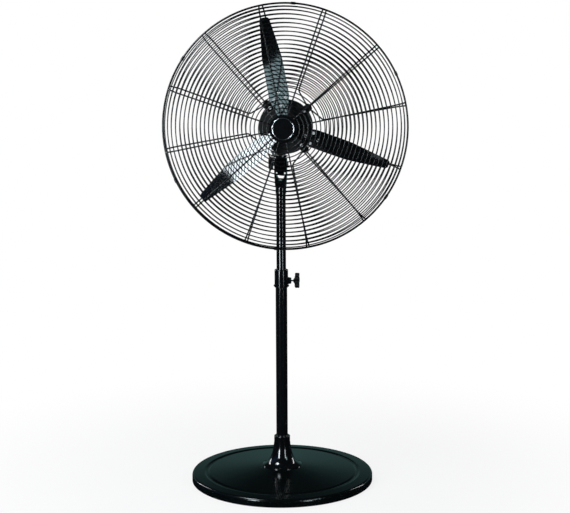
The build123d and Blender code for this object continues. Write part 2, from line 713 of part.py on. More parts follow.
def yoke():
    """Fork on the upper pole: a sleeve, a V notch and two round-topped ears."""
    root = YOKE_NOTCH - YOKE_ROOT
    top = TILT_Z + YOKE_EAR_RADIUS
    shoulder = YOKE_NOTCH + YOKE_VEE
    inner = YOKE_INNER / 2
    outer = YOKE_OUTER / 2
    right = [(YOKE_RADIUS, root), (outer, shoulder), (outer, top), (inner, top), (inner, shoulder)]
    right.append((YOKE_VEE_FLAT / 2, YOKE_NOTCH))
    left = [(-across, height) for across, height in right]
    fork = make_face(Polyline(*right, *left[::-1], close=True))
    fork = extrude(Plane.XZ * fork, YOKE_EAR_RADIUS, both=True)
    side = make_face(
        Polyline(
            (-YOKE_RADIUS, root),
            (YOKE_RADIUS, root),
            (YOKE_EAR_RADIUS, TILT_Z),
            (-YOKE_EAR_RADIUS, TILT_Z),
            close=True,
        )
    )
    side += Pos(0, TILT_Z) * Circle(YOKE_EAR_RADIUS)
    fork &= extrude(Plane.YZ * side, outer, both=True)
    body = fork + rod(YOKE_RADIUS, YOKE_BOTTOM, root + YOKE_ROOT / 2)
    body -= rod(UPPER_POLE_RADIUS + SEAT_GAP, YOKE_BOTTOM, UPPER_POLE_TOP)
    body -= Pos(0, 0, TILT_Z) * to_x(rod(TILT_BOLT_RADIUS + SEAT_GAP, -outer, outer))
    for hole in yoke_screw_places(rod(YOKE_SCREW_RADIUS + SEAT_GAP, 0, YOKE_OUTER)):
        body -= hole
    return body


def yoke_screws():
    """Screws through the back of the yoke's sleeve into the upper pole."""
    reach = YOKE_RADIUS - UPPER_POLE_RADIUS + POLE_WALL
    screw = pan_screw(YOKE_SCREW_RADIUS, reach, YOKE_SCREW_HEAD_RADIUS, YOKE_SCREW_HEAD)
    return group(yoke_screw_places(Pos(0, 0, YOKE_RADIUS + SLIDE_GAP) * screw))


def tilt_bolt():
    """Cross bolt of the tilt joint, its round head at the right."""
    outer = YOKE_OUTER / 2
    end = outer + TILT_WASHER + SLIDE_GAP + TILT_KNOB_HUB + KNOB_THICKNESS - KNOB_FACE
    bolt = pan_screw(TILT_BOLT_RADIUS, outer + end, TILT_HEAD_RADIUS, TILT_HEAD)
    return Pos(outer, 0, TILT_Z) * to_x(bolt)


def tilt_washer():
    """Washer between the left ear and the tilt knob."""
    outer = YOKE_OUTER / 2
    washer = tube(TILT_WASHER_RADIUS, TILT_BOLT_RADIUS + SEAT_GAP, outer, outer + TILT_WASHER)
    return Pos(0, 0, TILT_Z) * Rot(0, -90, 0) * washer


def tilt_lock_place(shape):
    """A knob shape along Z set on the tilt bolt's left end."""
    start = YOKE_OUTER / 2 + TILT_WASHER + SLIDE_GAP
    return Pos(-start, 0, TILT_Z) * Rot(0, -90, 0) * shape


def tilt_knob():
    """Star knob of the tilt lock, with a pocket for its nut."""
    length = TILT_KNOB_HUB + KNOB_THICKNESS
    knob = star_knob(TILT_KNOB_RADIUS, TILT_KNOB_HUB)
    knob -= rod(TILT_BOLT_RADIUS + SLIDE_GAP, 0, length - KNOB_FACE / 2)
    start = TILT_KNOB_HUB
    knob -= hexagon(TILT_NUT_ACROSS + 2 * SEAT_GAP, start, start + TILT_NUT_HEIGHT)
    return tilt_lock_place(knob)


def tilt_nut():
    """Nut moulded into the tilt knob."""
    start = TILT_KNOB_HUB
    nut = hexagon(TILT_NUT_ACROSS, start, start + TILT_NUT_HEIGHT)
    return tilt_lock_place(nut - rod(TILT_BOLT_RADIUS + RUN_GAP, 0, start + TILT_NUT_HEIGHT))


# Neck


def neck_block():
    """Tilting block: cheeks that fill the fork, a narrow heel and an arm that holds the link's stud."""
    bottom = TILT_Z - NECK_DROP
    heel = bottom + NECK_DEPTH / 2
    flange_low = NECK_TOP - NECK_FLANGE
    block = slab(NECK_WIDTH, NECK_DEPTH, heel, flange_low)
    block += Pos(0, 0, heel) * to_x(rod(NECK_DEPTH / 2, -NECK_WIDTH / 2, NECK_WIDTH / 2))
    face = YOKE_INNER / 2 - SLIDE_GAP
    cheeks = slab(2 * face, NECK_DEPTH, bottom, flange_low)
    block += cheeks & Pos(0, 0, TILT_Z) * to_x(rod(NECK_CHEEK_RADIUS, -face, face))
    top = Circle(NECK_FLANGE_RADIUS) + Pos(STUD_X, STUD_Y) * Circle(LINK_EYE_RADIUS)
    arm = Rectangle(LINK_STUD_RADIUS, 2 * LINK_EYE_RADIUS, align=(Align.MIN, Align.CENTER))
    top += Rot(0, 0, degrees(STUD_BEARING)) * arm
    block += Pos(0, 0, flange_low) * extrude(top, NECK_FLANGE)
    bush = SWIVEL_PIN_RADIUS + RUN_GAP + SWIVEL_BUSH_WALL + SEAT_GAP
    block -= rod(bush, NECK_TOP - SWIVEL_PIN_DEPTH, NECK_TOP)
    block -= Pos(0, 0, TILT_Z) * to_x(rod(TILT_BOLT_RADIUS + RUN_GAP, -face, face))
    return block - Pos(STUD_X, STUD_Y, 0) * rod(LINK_STUD_SHANK + SEAT_GAP, flange_low, NECK_TOP)


def swivel_bush():
    """Flanged bush in the neck for the swivel pin."""
    bore = SWIVEL_PIN_RADIUS + RUN_GAP
    low = NECK_TOP - SWIVEL_PIN_DEPTH
    high = NECK_TOP + SWIVEL_BUSH_FLANGE
    bush = tube(bore + SWIVEL_BUSH_WALL, bore, low, high)
    return bush + tube(SWIVEL_BUSH_FLANGE_RADIUS, bore, NECK_TOP, high)


def link_stud():
    """Stud on the neck's arm under the link's front eye."""
    stud = rod(LINK_STUD_SHANK, NECK_TOP - NECK_FLANGE, NECK_TOP)
    stud += rod(LINK_PIN_RADIUS, NECK_TOP, LINK_BOTTOM - SLIDE_GAP)
    return Pos(STUD_X, STUD_Y, 0) * stud


# Motor


def lug_places(low, high, radius):
    """Bars along the motor's axis at the through bolts."""
    return spun(Pos(MOTOR_LUG_CIRCLE, 0, 0) * rod(radius, low, high), MOTOR_LUG_COUNT, DIAGONAL)


def cooling_ribs(low, high):
    """Raised ribs along the motor's side."""
    rib = Pos(MOTOR_RADIUS, 0, 0) * slab(2 * MOTOR_RIB, MOTOR_RIB, low, high)
    return spun(rib, MOTOR_RIB_COUNT, 180 / MOTOR_RIB_COUNT)


def front_shield():
    """Front half of the motor's casing: guard flange, bearing seat, lugs and swivel boss."""
    back = FLANGE_FRONT - FLANGE_THICKNESS
    skin = turned(
        [
            (0, FLANGE_FRONT),
            (FLANGE_RADIUS, FLANGE_FRONT),
            (FLANGE_RADIUS, back),
            (MOTOR_RADIUS, back),
            (MOTOR_RADIUS, MOTOR_SPLIT),
            (0, MOTOR_SPLIT),
        ],
        [((FLANGE_RADIUS, FLANGE_FRONT), FLANGE_THICKNESS / 3)],
    )
    boss_low = SWIVEL_FACE - HEAD_Z
    boss = Pos(-HEAD_OFFSET, 0, 0) * to_y(rod(SWIVEL_BOSS_RADIUS, boss_low, -MOTOR_RADIUS / 2))
    lugs = lug_places(MOTOR_SPLIT, MOTOR_SPLIT + MOTOR_LUG_LENGTH, MOTOR_LUG_RADIUS)
    body = joined([skin, boss, *lugs, *cooling_ribs(MOTOR_SPLIT + MOTOR_LUG_LENGTH, back)])
    seat = BEARING_RADIUS + SEAT_GAP
    seat_back = FRONT_BEARING - BEARING_SHOULDER
    inside = MOTOR_RADIUS - MOTOR_WALL
    body -= turned(
        [
            (seat + BEARING_SEAT_WALL, back),
            (inside, back),
            (inside, MOTOR_SPLIT),
            (0, MOTOR_SPLIT),
            (0, seat_back),
            (seat + BEARING_SEAT_WALL, seat_back),
        ]
    )
    body -= rod(seat, seat_back, FRONT_BEARING + BEARING_WIDTH)
    body -= rod(SHAFT_RADIUS + SLIDE_GAP, seat_back, FLANGE_FRONT)
    pin_top = boss_low + SWIVEL_PIN_RISE
    pin_hole = rod(SWIVEL_PIN_RADIUS + SEAT_GAP, boss_low, pin_top)
    body -= Pos(-HEAD_OFFSET, 0, 0) * to_y(pin_hole)
    for hole in lug_places(MOTOR_SPLIT, MOTOR_SPLIT + MOTOR_LUG_LENGTH, MOTOR_BOLT_RADIUS + SEAT_GAP):
        body -= hole
    for hole in guard_screw_places(rod(GUARD_SCREW_RADIUS + SEAT_GAP, back, FLANGE_FRONT)):
        body -= hole
    return HEAD * body


def rear_shield():
    """Rear half of the motor's casing, with a bearing seat and vents in its back."""
    rim = (MOTOR_RADIUS, MOTOR_BACK)
    skin = turned([(0, MOTOR_SPLIT), (MOTOR_RADIUS, MOTOR_SPLIT), rim, (0, MOTOR_BACK)])
    skin = chamfer(skin.edges().group_by(Axis.Z)[0], MOTOR_BACK_CHAMFER)
    ribs = cooling_ribs(MOTOR_BACK + MOTOR_BACK_CHAMFER, MOTOR_SPLIT - MOTOR_LUG_LENGTH)
    lugs = lug_places(MOTOR_SPLIT - MOTOR_LUG_LENGTH, MOTOR_SPLIT, MOTOR_LUG_RADIUS)
    body = joined([skin, *lugs, *ribs])
    seat = BEARING_RADIUS + SEAT_GAP
    seat_front = REAR_BEARING + BEARING_WIDTH + BEARING_SHOULDER
    inside = MOTOR_RADIUS - MOTOR_WALL - MOTOR_BACK_WALL
    side = MOTOR_RADIUS - MOTOR_WALL
    body -= turned(
        [
            (seat + BEARING_SEAT_WALL, REAR_BEARING),
            (inside, REAR_BEARING),
            (side, REAR_BEARING + MOTOR_BACK_WALL),
            (side, MOTOR_SPLIT),
            (0, MOTOR_SPLIT),
            (0, seat_front),
            (seat + BEARING_SEAT_WALL, seat_front),
        ]
    )
    body -= rod(seat, REAR_BEARING, seat_front)
    body -= rod(SHAFT_RADIUS + SLIDE_GAP, MOTOR_BACK, seat_front)
    for hole in lug_places(MOTOR_SPLIT - MOTOR_LUG_LENGTH, MOTOR_SPLIT, MOTOR_BOLT_RADIUS + SEAT_GAP):
        body -= hole
    vent = SlotOverall(VENT_OUTER - VENT_INNER, VENT_WIDTH)
    vent = extrude(Pos((VENT_OUTER + VENT_INNER) / 2, 0) * vent, MOTOR_BACK_WALL)
    for hole in spun(Pos(0, 0, MOTOR_BACK) * vent, VENT_COUNT, 180 / VENT_COUNT):
        body -= hole
    return HEAD * body


def swivel_pin():
    """Pin fixed in the front shield's boss, on which the head swings."""
    low = NECK_TOP - SWIVEL_PIN_DEPTH + SLIDE_GAP
    return rod(SWIVEL_PIN_RADIUS, low, SWIVEL_FACE + SWIVEL_PIN_RISE)


def motor_bolts():
    """Through bolts with nuts that hold the two shields together."""
    low = MOTOR_SPLIT - MOTOR_LUG_LENGTH
    high = MOTOR_SPLIT + MOTOR_LUG_LENGTH
    bolt = rod(MOTOR_BOLT_RADIUS, low, high)
    bolt += hexagon(MOTOR_BOLT_ACROSS, high, high + MOTOR_BOLT_HEAD)
    bolt += hexagon(MOTOR_BOLT_ACROSS, low - MOTOR_BOLT_HEAD, low)
    places = spun(Pos(MOTOR_LUG_CIRCLE, 0, 0) * bolt, MOTOR_LUG_COUNT, DIAGONAL)
    return HEAD * group(places)


def bearing(start):
    """Ball bearing with a groove between its races on both faces."""
    end = start + BEARING_WIDTH
    bore = SHAFT_RADIUS + RUN_GAP
    body = tube(BEARING_RADIUS, bore, start, end)
    groove_outer = BEARING_RADIUS - BEARING_RACE
    groove_inner = bore + BEARING_RACE
    body -= tube(groove_outer, groove_inner, start, start + BEARING_GROOVE)
    return HEAD * (body - tube(groove_outer, groove_inner, end - BEARING_GROOVE, end))


def stator_core():
    """Laminated ring with winding slots round its bore."""
    bore = ROTOR_CORE_RADIUS + AIR_GAP
    outer = MOTOR_RADIUS - MOTOR_WALL - SEAT_GAP
    core = tube(outer, bore, STATOR_BACK, STATOR_FRONT)
    slot = slab(2 * STATOR_SLOT_DEPTH, STATOR_SLOT_WIDTH, STATOR_BACK, STATOR_FRONT)
    for copy in spun(Pos(bore, 0, 0) * slot, STATOR_SLOTS):
        core -= copy
    return HEAD * core


def stator_coils():
    """End turns of the windings on both faces of the stator."""
    outline = Rectangle(COIL_OUTER - COIL_INNER, COIL_HEIGHT)
    outline = chamfer(outline.vertices(), COIL_BEVEL)
    rings = []
    for height in (STATOR_FRONT + COIL_HEIGHT / 2, STATOR_BACK - COIL_HEIGHT / 2):
        section = Pos((COIL_OUTER + COIL_INNER) / 2, height) * outline
        rings.append(Rot(90, 0, 0) * revolve(section, Axis.Y))
    return HEAD * group(rings)


# Oscillation drive and controls


def gearbox_frame(width, height, low, high, round_corner):
    """Rounded block behind the motor between two places along its axis."""
    outline = Pos(0, BOX_Y) * RectangleRounded(width, height, round_corner)
    return Pos(0, 0, low) * extrude(outline, high - low)


def lid_screw_places(shape):
    """A shape along the motor's axis at the four corners of the gearbox lid."""
    across = GEARBOX_WIDTH / 2 - LID_SCREW_INSET
    along = (GEARBOX_TOP - GEARBOX_BOTTOM) / 2 - LID_SCREW_INSET
    return [Pos(x, BOX_Y + y, 0) * shape for x in (-across, across) for y in (-along, along)]


def gearbox_case():
    """Gear housing on the motor's back, with a foot for the crank and a hole for the pull knob."""
    height = GEARBOX_TOP - GEARBOX_BOTTOM
    case = gearbox_frame(GEARBOX_WIDTH, height, GEARBOX_BACK, MOTOR_BACK, GEARBOX_ROUND)
    foot_low = CRANK_TOP + CRANK_GAP - HEAD_Z
    foot = to_y(rod(GEARBOX_FOOT_RADIUS, foot_low, GEARBOX_BOTTOM + GEARBOX_ROUND))
    case += Pos(0, 0, -CRANK_BACK) * foot
    case -= rod(SHAFT_RADIUS + SLIDE_GAP, SHAFT_BACK - SLIDE_GAP, MOTOR_BACK)
    spindle_top = foot_low + CRANK_SPINDLE_LENGTH
    case -= Pos(0, 0, -CRANK_BACK) * to_y(rod(CRANK_SPINDLE_RADIUS + RUN_GAP, foot_low, spindle_top))
    stem_low = GEARBOX_TOP - PLUNGER_STEM_DEPTH
    stem = to_y(rod(PLUNGER_STEM_RADIUS + RUN_GAP, stem_low - SLIDE_GAP, GEARBOX_TOP))
    case -= Pos(0, 0, -PLUNGER_BACK) * stem
    for hole in lid_screw_places(rod(LID_SCREW_RADIUS + SEAT_GAP, LID_BACK, LID_BACK + LID_SCREW_LENGTH)):
        case -= hole
    return HEAD * case


def gearbox_lid():
    """Plate on the gearbox's back."""
    height = GEARBOX_TOP - GEARBOX_BOTTOM
    lid = gearbox_frame(GEARBOX_WIDTH, height, LID_BACK, GEARBOX_BACK, GEARBOX_ROUND)
    for hole in lid_screw_places(rod(LID_SCREW_RADIUS + SEAT_GAP, LID_BACK, GEARBOX_BACK)):
        lid -= hole
    return HEAD * lid


def lid_screws():
    """Screws at the lid's corners."""
    screw = pan_screw(LID_SCREW_RADIUS, LID_SCREW_LENGTH, LID_SCREW_HEAD_RADIUS, LID_SCREW_HEAD)
    backwards = Pos(0, 0, LID_BACK) * Rot(180, 0, 0) * screw
    return HEAD * group(lid_screw_places(backwards))


def crank_disc():
    """Crank under the gearbox: a spindle, a disc and a pin with a riveted end."""
    disc = rod(CRANK_THROW + CRANK_MARGIN, CRANK_BOTTOM, CRANK_TOP)
    disc += rod(CRANK_SPINDLE_RADIUS, CRANK_TOP, CRANK_TOP + CRANK_GAP + CRANK_SPINDLE_LENGTH - SLIDE_GAP)
    head_top = LINK_BOTTOM - CRANK_GAP
    pin = rod(LINK_PIN_RADIUS, head_top, CRANK_BOTTOM)
    pin += rod(CRANK_PIN_HEAD_RADIUS, head_top - CRANK_PIN_HEAD, head_top)
    return Pos(HEAD_OFFSET, CRANK_BACK, 0) * disc + Pos(PIN_X, PIN_Y, 0) * pin


def link_bar():
    """Flat link from the crank's pin to the neck's stud, with an eye at each end."""
    bearing_angle = degrees(atan2(STUD_Y - PIN_Y, STUD_X - PIN_X))
    bar = Rectangle(LINK_LENGTH, LINK_WIDTH, align=(Align.MIN, Align.CENTER))
    bar += Circle(LINK_EYE_RADIUS) + Pos(LINK_LENGTH, 0) * Circle(LINK_EYE_RADIUS)
    hole = Circle(LINK_PIN_RADIUS + RUN_GAP)
    bar -= hole + Pos(LINK_LENGTH, 0) * hole
    return Pos(PIN_X, PIN_Y, LINK_BOTTOM) * Rot(0, 0, bearing_angle) * extrude(bar, LINK_THICKNESS)


def pull_knob():
    """Mushroom knob on the gearbox's top that disengages the swing."""
    neck = GEARBOX_TOP + PLUNGER_STEM_SHOWN
    knob = turned(
        [
            (0, GEARBOX_TOP - PLUNGER_STEM_DEPTH),
            (PLUNGER_STEM_RADIUS, GEARBOX_TOP - PLUNGER_STEM_DEPTH),
            (PLUNGER_STEM_RADIUS, neck),
            (PLUNGER_KNOB_RADIUS, neck + PLUNGER_STEM_RADIUS),
            (PLUNGER_KNOB_RADIUS, neck + PLUNGER_KNOB_HEIGHT),
            (0, neck + PLUNGER_KNOB_HEIGHT),
        ],
        [((PLUNGER_KNOB_RADIUS, neck + PLUNGER_KNOB_HEIGHT), PLUNGER_KNOB_ROUND)],
    )
    return Pos(HEAD_OFFSET, PLUNGER_BACK, HEAD_Z) * knob


def switch_box():
    """Hollow control box behind the gearbox lid."""
    box = gearbox_frame(SWITCH_BOX_WIDTH, SWITCH_BOX_HEIGHT, BOX_BACK, LID_BACK, SWITCH_BOX_ROUND)
    box = fillet(box.edges().group_by(Axis.Z)[0], SWITCH_BOX_WALL)
    inner_width = SWITCH_BOX_WIDTH - 2 * SWITCH_BOX_WALL
    inner_height = SWITCH_BOX_HEIGHT - 2 * SWITCH_BOX_WALL
    inner_round = SWITCH_BOX_ROUND - SWITCH_BOX_WALL
    inner_back = BOX_BACK + SWITCH_BOX_WALL
    box -= gearbox_frame(inner_width, inner_height, inner_back, LID_BACK, inner_round)
    for pocket in lid_screw_places(rod(LID_SCREW_HEAD_RADIUS + SLIDE_GAP, inner_back, LID_BACK)):
        box -= pocket
    box -= Pos(0, SWITCH_Y, 0) * rod(SWITCH_SHAFT_RADIUS + SLIDE_GAP, BOX_BACK, LID_BACK)
    box_bottom = BOX_Y - SWITCH_BOX_HEIGHT / 2
    gland_hole = rod(GLAND_RADIUS + SEAT_GAP, box_bottom, box_bottom + 2 * SWITCH_BOX_WALL)
    return HEAD * (box - Pos(0, 0, (BOX_BACK + LID_BACK) / 2) * to_y(gland_hole))


def speed_switch():
    """Rotary switch inside the control box, its shaft through the back wall."""
    back = BOX_BACK + SWITCH_BOX_WALL
    body = slab(SWITCH_SIZE, SWITCH_SIZE, back, back + SWITCH_LENGTH)
    body += rod(SWITCH_SHAFT_RADIUS, BOX_BACK - SWITCH_SHAFT_LENGTH, back)
    return HEAD * Pos(0, SWITCH_Y, 0) * body


def speed_knob():
    """Tapered knob with a raised finger grip, on the switch's shaft."""
    front = BOX_BACK - SLIDE_GAP
    knob = extrude(Circle(SPEED_KNOB_RADIUS), SPEED_KNOB_HEIGHT / 2)
    grip = extrude(
        Rectangle(2 * SPEED_KNOB_RADIUS, SPEED_KNOB_GRIP) & Circle(SPEED_KNOB_RADIUS),
        SPEED_KNOB_HEIGHT,
        taper=SPEED_KNOB_DRAFT,
    )
    knob = fillet(knob.edges().group_by(Axis.Z)[-1], SPEED_KNOB_ROUND) + grip
    knob -= rod(SWITCH_SHAFT_RADIUS + RUN_GAP, 0, SWITCH_SHAFT_LENGTH)
    return HEAD * Pos(0, SWITCH_Y, front) * Rot(180, 0, 0) * knob


def run_capacitor():
    """Motor capacitor on the lid inside the control box."""
    block = slab(CAPACITOR_WIDTH, CAPACITOR_HEIGHT, LID_BACK - CAPACITOR_LENGTH, LID_BACK)
    edges = block.edges().filter_by(Axis.Z)
    return HEAD * Pos(0, BOX_Y + CAPACITOR_RISE + CAPACITOR_HEIGHT / 2, 0) * fillet(edges, POLE_WALL)


def cable_gland():
    """Cable inlet under the control box."""
    bottom = BOX_Y - SWITCH_BOX_HEIGHT / 2
    body = rod(GLAND_RADIUS, bottom, bottom + SWITCH_BOX_WALL)
    body += hexagon(GLAND_ACROSS, bottom - GLAND_HEX, bottom)
    tip = GLAND_LENGTH - GLAND_HEX
    cone = Cone(GLAND_NECK, GLAND_RADIUS, tip)
    body += Pos(0, 0, bottom - GLAND_HEX - tip / 2) * cone
    body -= rod(GLAND_BORE, bottom - GLAND_LENGTH, bottom + SWITCH_BOX_WALL)
    return HEAD * Pos(0, 0, (BOX_BACK + LID_BACK) / 2) * to_y(body)


# Guards


def guard_screw_places(shape):
    """A shape along the fan's axis at each guard foot's screw."""
    phase = SPOKE_PHASE + REAR_TURN + 2 * 360 / SPOKE_COUNT
    return spun(Pos(0, GUARD_SCREW_CIRCLE, 0) * shape, GUARD_FOOT_COUNT, phase)


def flank_corners(shoulder, rim):
    """Corners of a spoke's end, from its shoulder to the rim that it is welded to."""
    drop = rim - shoulder
    share = 1 - (RIM_WIRE + WELD_GAP) / hypot(SHOULDER_INSET, drop)
    end = (0, SHOULDER_RADIUS + share * SHOULDER_INSET, shoulder + share * drop)
    return [(0, SHOULDER_RADIUS, shoulder), end]


def bent_wire(corners, rounds, radius):
    """Wire bent along corners."""
    path = FilletPolyline(*corners, radius=rounds)
    end = Plane(origin=path @ 0, z_dir=path % 0)
    return sweep(end * RegularPolygon(radius, WIRE_SIDES), path=path)


def ring_wire(radius, height, thickness):
    """Closed wire ring about the fan's axis."""
    section = Pos(radius, height) * RegularPolygon(thickness, WIRE_SIDES)
    return Rot(90, 0, 0) * revolve(section, Axis.Y)


def front_line():
    """Corners of a front spoke."""
    centre = RIM_PLANE + FRONT_CENTRE
    return [(0, FRONT_SPOKE_START, centre)] + flank_corners(RIM_PLANE + FRONT_SHOULDER, FRONT_RIM)


def rear_line(start):
    """Corners of a rear spoke from a radius outwards, on the line from its foot to its shoulder."""
    shoulder = RIM_PLANE - REAR_SHOULDER
    share = (start - REAR_SPOKE_START) / (SHOULDER_RADIUS - REAR_SPOKE_START)
    height = REAR_CENTRE + share * (shoulder - REAR_CENTRE)
    return [(0, start, height)] + flank_corners(shoulder, REAR_RIM)


def guard_rings(corners, first_radius, side):
    """Rings laid on the outside of a spoke's line, evenly spaced along it."""
    path = FilletPolyline(*corners, radius=SHOULDER_ROUND)
    lift = SPOKE_WIRE + RING_WIRE + WELD_GAP
    start = first_radius - corners[0][1]
    last = path.length - RING_PITCH
    count = int((last - start) / RING_PITCH) + 1
    rings = []
    for index in range(count):
        place = (start + index * RING_PITCH) / path.length
        spot = path @ place
        along = path % place
        radius = spot.Y - side * along.Z * lift
        height = spot.Z + side * along.Y * lift
        rings.append(ring_wire(radius, height, RING_WIRE))
    return rings


def front_guard_rings():
    """Rings of the front guard."""
    return HEAD * group(guard_rings(front_line(), FRONT_RING_START, 1))


def rear_guard_rings():
    """Rings of the rear guard."""
    return HEAD * group(guard_rings(rear_line(REAR_SPOKE_START), REAR_RING_START, -1))


def front_guard_spokes():
    """Spokes of the front guard, welded to its rim."""
    spoke = bent_wire(front_line(), [SHOULDER_ROUND], SPOKE_WIRE)
    return HEAD * group(spun(spoke, SPOKE_COUNT, SPOKE_PHASE + FRONT_TURN))


def rear_guard_spokes():
    """Spokes of the rear guard: one straight to each foot, its two neighbours bent in beside it."""
    family = [bent_wire(rear_line(REAR_SPOKE_START), [SHOULDER_ROUND], SPOKE_WIRE)]
    step = 360 / SPOKE_COUNT
    rounds = [REAR_BEND_ROUND, SHOULDER_ROUND]
    for side in (-1, 1):
        foot = Vector(side * REAR_SPOKE_SIDE, GUARD_FOOT_OUTER - GUARD_FOOT_ROUND, REAR_CENTRE)
        start = tuple(foot.rotate(Axis.Z, side * step))
        bent = bent_wire([start] + rear_line(REAR_BEND_RADIUS), rounds, SPOKE_WIRE)
        family.append(Rot(0, 0, -side * step) * bent)
    phase = SPOKE_PHASE + REAR_TURN + 2 * step
    return HEAD * group([copy for spoke in family for copy in spun(spoke, GUARD_FOOT_COUNT, phase)])


def guard_rim(place):
    """Rim wire of one guard."""
    return HEAD * ring_wire(RIM_RADIUS, place, RIM_WIRE)


def guard_feet():
    """Flat feet welded to the rear spokes and screwed to the motor's flange."""
    length = GUARD_FOOT_OUTER - GUARD_FOOT_INNER
    outline = RectangleRounded(GUARD_FOOT_WIDTH, length, GUARD_FOOT_ROUND)
    foot = extrude(Pos(0, (GUARD_FOOT_OUTER + GUARD_FOOT_INNER) / 2) * outline, GUARD_FOOT)
    foot -= Pos(0, GUARD_SCREW_CIRCLE, 0) * rod(GUARD_SCREW_RADIUS + SEAT_GAP, 0, GUARD_FOOT)
    phase = SPOKE_PHASE + REAR_TURN + 2 * 360 / SPOKE_COUNT
    return HEAD * group(spun(Pos(0, 0, FLANGE_FRONT) * foot, GUARD_FOOT_COUNT, phase))


def guard_screws():
    """Screws through the guard's feet into the motor's flange."""
    reach = GUARD_FOOT + FLANGE_THICKNESS
    screw = pan_screw(GUARD_SCREW_RADIUS, reach, GUARD_SCREW_HEAD_RADIUS, GUARD_SCREW_HEAD)
    return HEAD * group(guard_screw_places(Pos(0, 0, FOOT_FACE) * screw))


def front_plate():
    """Round plate at the middle of the front guard."""
    return HEAD * rod(FRONT_PLATE_RADIUS, PLATE_BACK, CAP_BACK)


def front_cap():
    """Cap on the front plate: a bevelled rim round a sunk face."""
    top = CAP_BACK + CAP_HEIGHT
    face = top - CAP_FACE_DROP
    cap = turned(
        [
            (0, CAP_BACK),
            (CAP_RADIUS, CAP_BACK),
            (CAP_RADIUS, top - CAP_BEVEL),
            (CAP_RADIUS - CAP_BEVEL, top),
            (CAP_FACE_RADIUS, top),
            (CAP_FACE_RADIUS - CAP_FACE_DROP, face),
            (0, face),
        ]
    )
    return HEAD * cap


def guard_clips():
    """Spring clips that hold the two rims together."""
    half = RIM_WIRE + RIM_GAP
    inner_radius = RIM_WIRE + CLIP_GAP
    outer_radius = inner_radius + CLIP_WALL
    outer = SlotCenterToCenter(2 * half, 2 * outer_radius)
    inner = SlotCenterToCenter(2 * half, 2 * inner_radius)
    loop = extrude(outer - inner, CLIP_WIDTH / 2, both=True)
    clip = Pos(0, RIM_RADIUS, RIM_PLANE) * Rot(0, 90, 0) * loop
    phase = SPOKE_PHASE + 180 / SPOKE_COUNT
    return HEAD * group(spun(clip, CLIP_COUNT, phase))


# Rotor


def blade_frame(shape, index):
    """A blade shape drawn flat, pitched and turned to its place on the hub."""
    angle = -BLADE_PHASE - index * 360 / BLADE_COUNT
    return Pos(0, 0, RIM_PLANE) * Rot(0, 0, angle) * Rot(0, BLADE_PITCH, 0) * shape


def rivet_spots():
    """Places of one blade's rivets, in a diamond on its root."""
    across = RIVET_ACROSS / 2
    along = RIVET_ALONG / 2
    ends = [(0, RIVET_CENTRE - along), (0, RIVET_CENTRE + along)]
    return ends + [(-across, RIVET_CENTRE), (across, RIVET_CENTRE)]


def blade_section(radius, camber, untwist):
    """Cross-section of the bent sheet at one radius, hollow towards the front."""
    half = BLADE_CHORD / 2 + BLADE_SHEET
    back = ThreePointArc((-half, 0), (0, camber), (half, 0))
    front = ThreePointArc((half, -BLADE_SHEET), (0, camber - BLADE_SHEET), (-half, -BLADE_SHEET))
    section = make_face([back, Line(back @ 1, front @ 0), front, Line(front @ 1, back @ 0)])
    plane = Plane(origin=(0, radius, ARM_SHEET / 2), x_dir=(1, 0, 0), z_dir=(0, 1, 0))
    return plane * Rot(0, 0, untwist) * section


def blade(index):
    """Pressed metal blade: a flat root for the rivets and a hollowed, untwisting paddle."""
    front = ARM_SHEET / 2 + BLADE_SHEET
    half = BLADE_CHORD / 2 + BLADE_SHEET
    root = Pos(0, (BLADE_ROOT + BLADE_FLAT_END) / 2, 0)
    sheet = root * slab(2 * half, BLADE_FLAT_END - BLADE_ROOT, ARM_SHEET / 2, front)
    flat = BLADE_ROOT_CAMBER
    middle = (BLADE_FLAT_END + BLADE_TIP) / 2
    sections = [
        blade_section(BLADE_FLAT_END, flat, 0),
        blade_section(middle, BLADE_CAMBER, BLADE_UNTWIST / 2),
        blade_section(BLADE_TIP, BLADE_CAMBER, BLADE_UNTWIST),
    ]
    sheet += loft(sections)
    right = [
        (BLADE_ROOT_CHORD / 2, BLADE_ROOT),
        (BLADE_CHORD / 2, BLADE_WIDEST_FROM),
        (BLADE_CHORD / 2, BLADE_WIDEST_TO),
        (BLADE_SHOULDER_CHORD / 2, BLADE_SHOULDER),
        (BLADE_TIP_CHORD / 2, BLADE_TIP),
    ]
    left = [(-across, along) for across, along in right]
    outline = make_face(Polyline(*right, *left[::-1], close=True))
    for corners in (right, left):
        for corner, radius in zip(corners, BLADE_ROUNDS):
            outline = rounded(outline, corner, radius)
    sheet &= extrude(outline, BLADE_CHORD, both=True)
    for across, along in rivet_spots():
        sheet -= Pos(across, along, 0) * rod(RIVET_RADIUS + SEAT_GAP, 0, 2 * front)
    return HEAD * blade_frame(sheet, index)


def blade_rivets():
    """Rivets with domed heads on both sides, four to a blade."""
    front = ARM_SHEET / 2 + BLADE_SHEET
    rivet = pan_screw(RIVET_RADIUS, ARM_SHEET + BLADE_SHEET, RIVET_HEAD_RADIUS, RIVET_HEAD)
    tail = rod(RIVET_HEAD_RADIUS - RIVET_HEAD / 2, -ARM_SHEET / 2 - RIVET_HEAD, -ARM_SHEET / 2)
    rivet = Pos(0, 0, front) * rivet + tail
    spots = [Pos(across, along, 0) * rivet for across, along in rivet_spots()]
    return HEAD * group([blade_frame(spot, index) for index in range(BLADE_COUNT) for spot in spots])


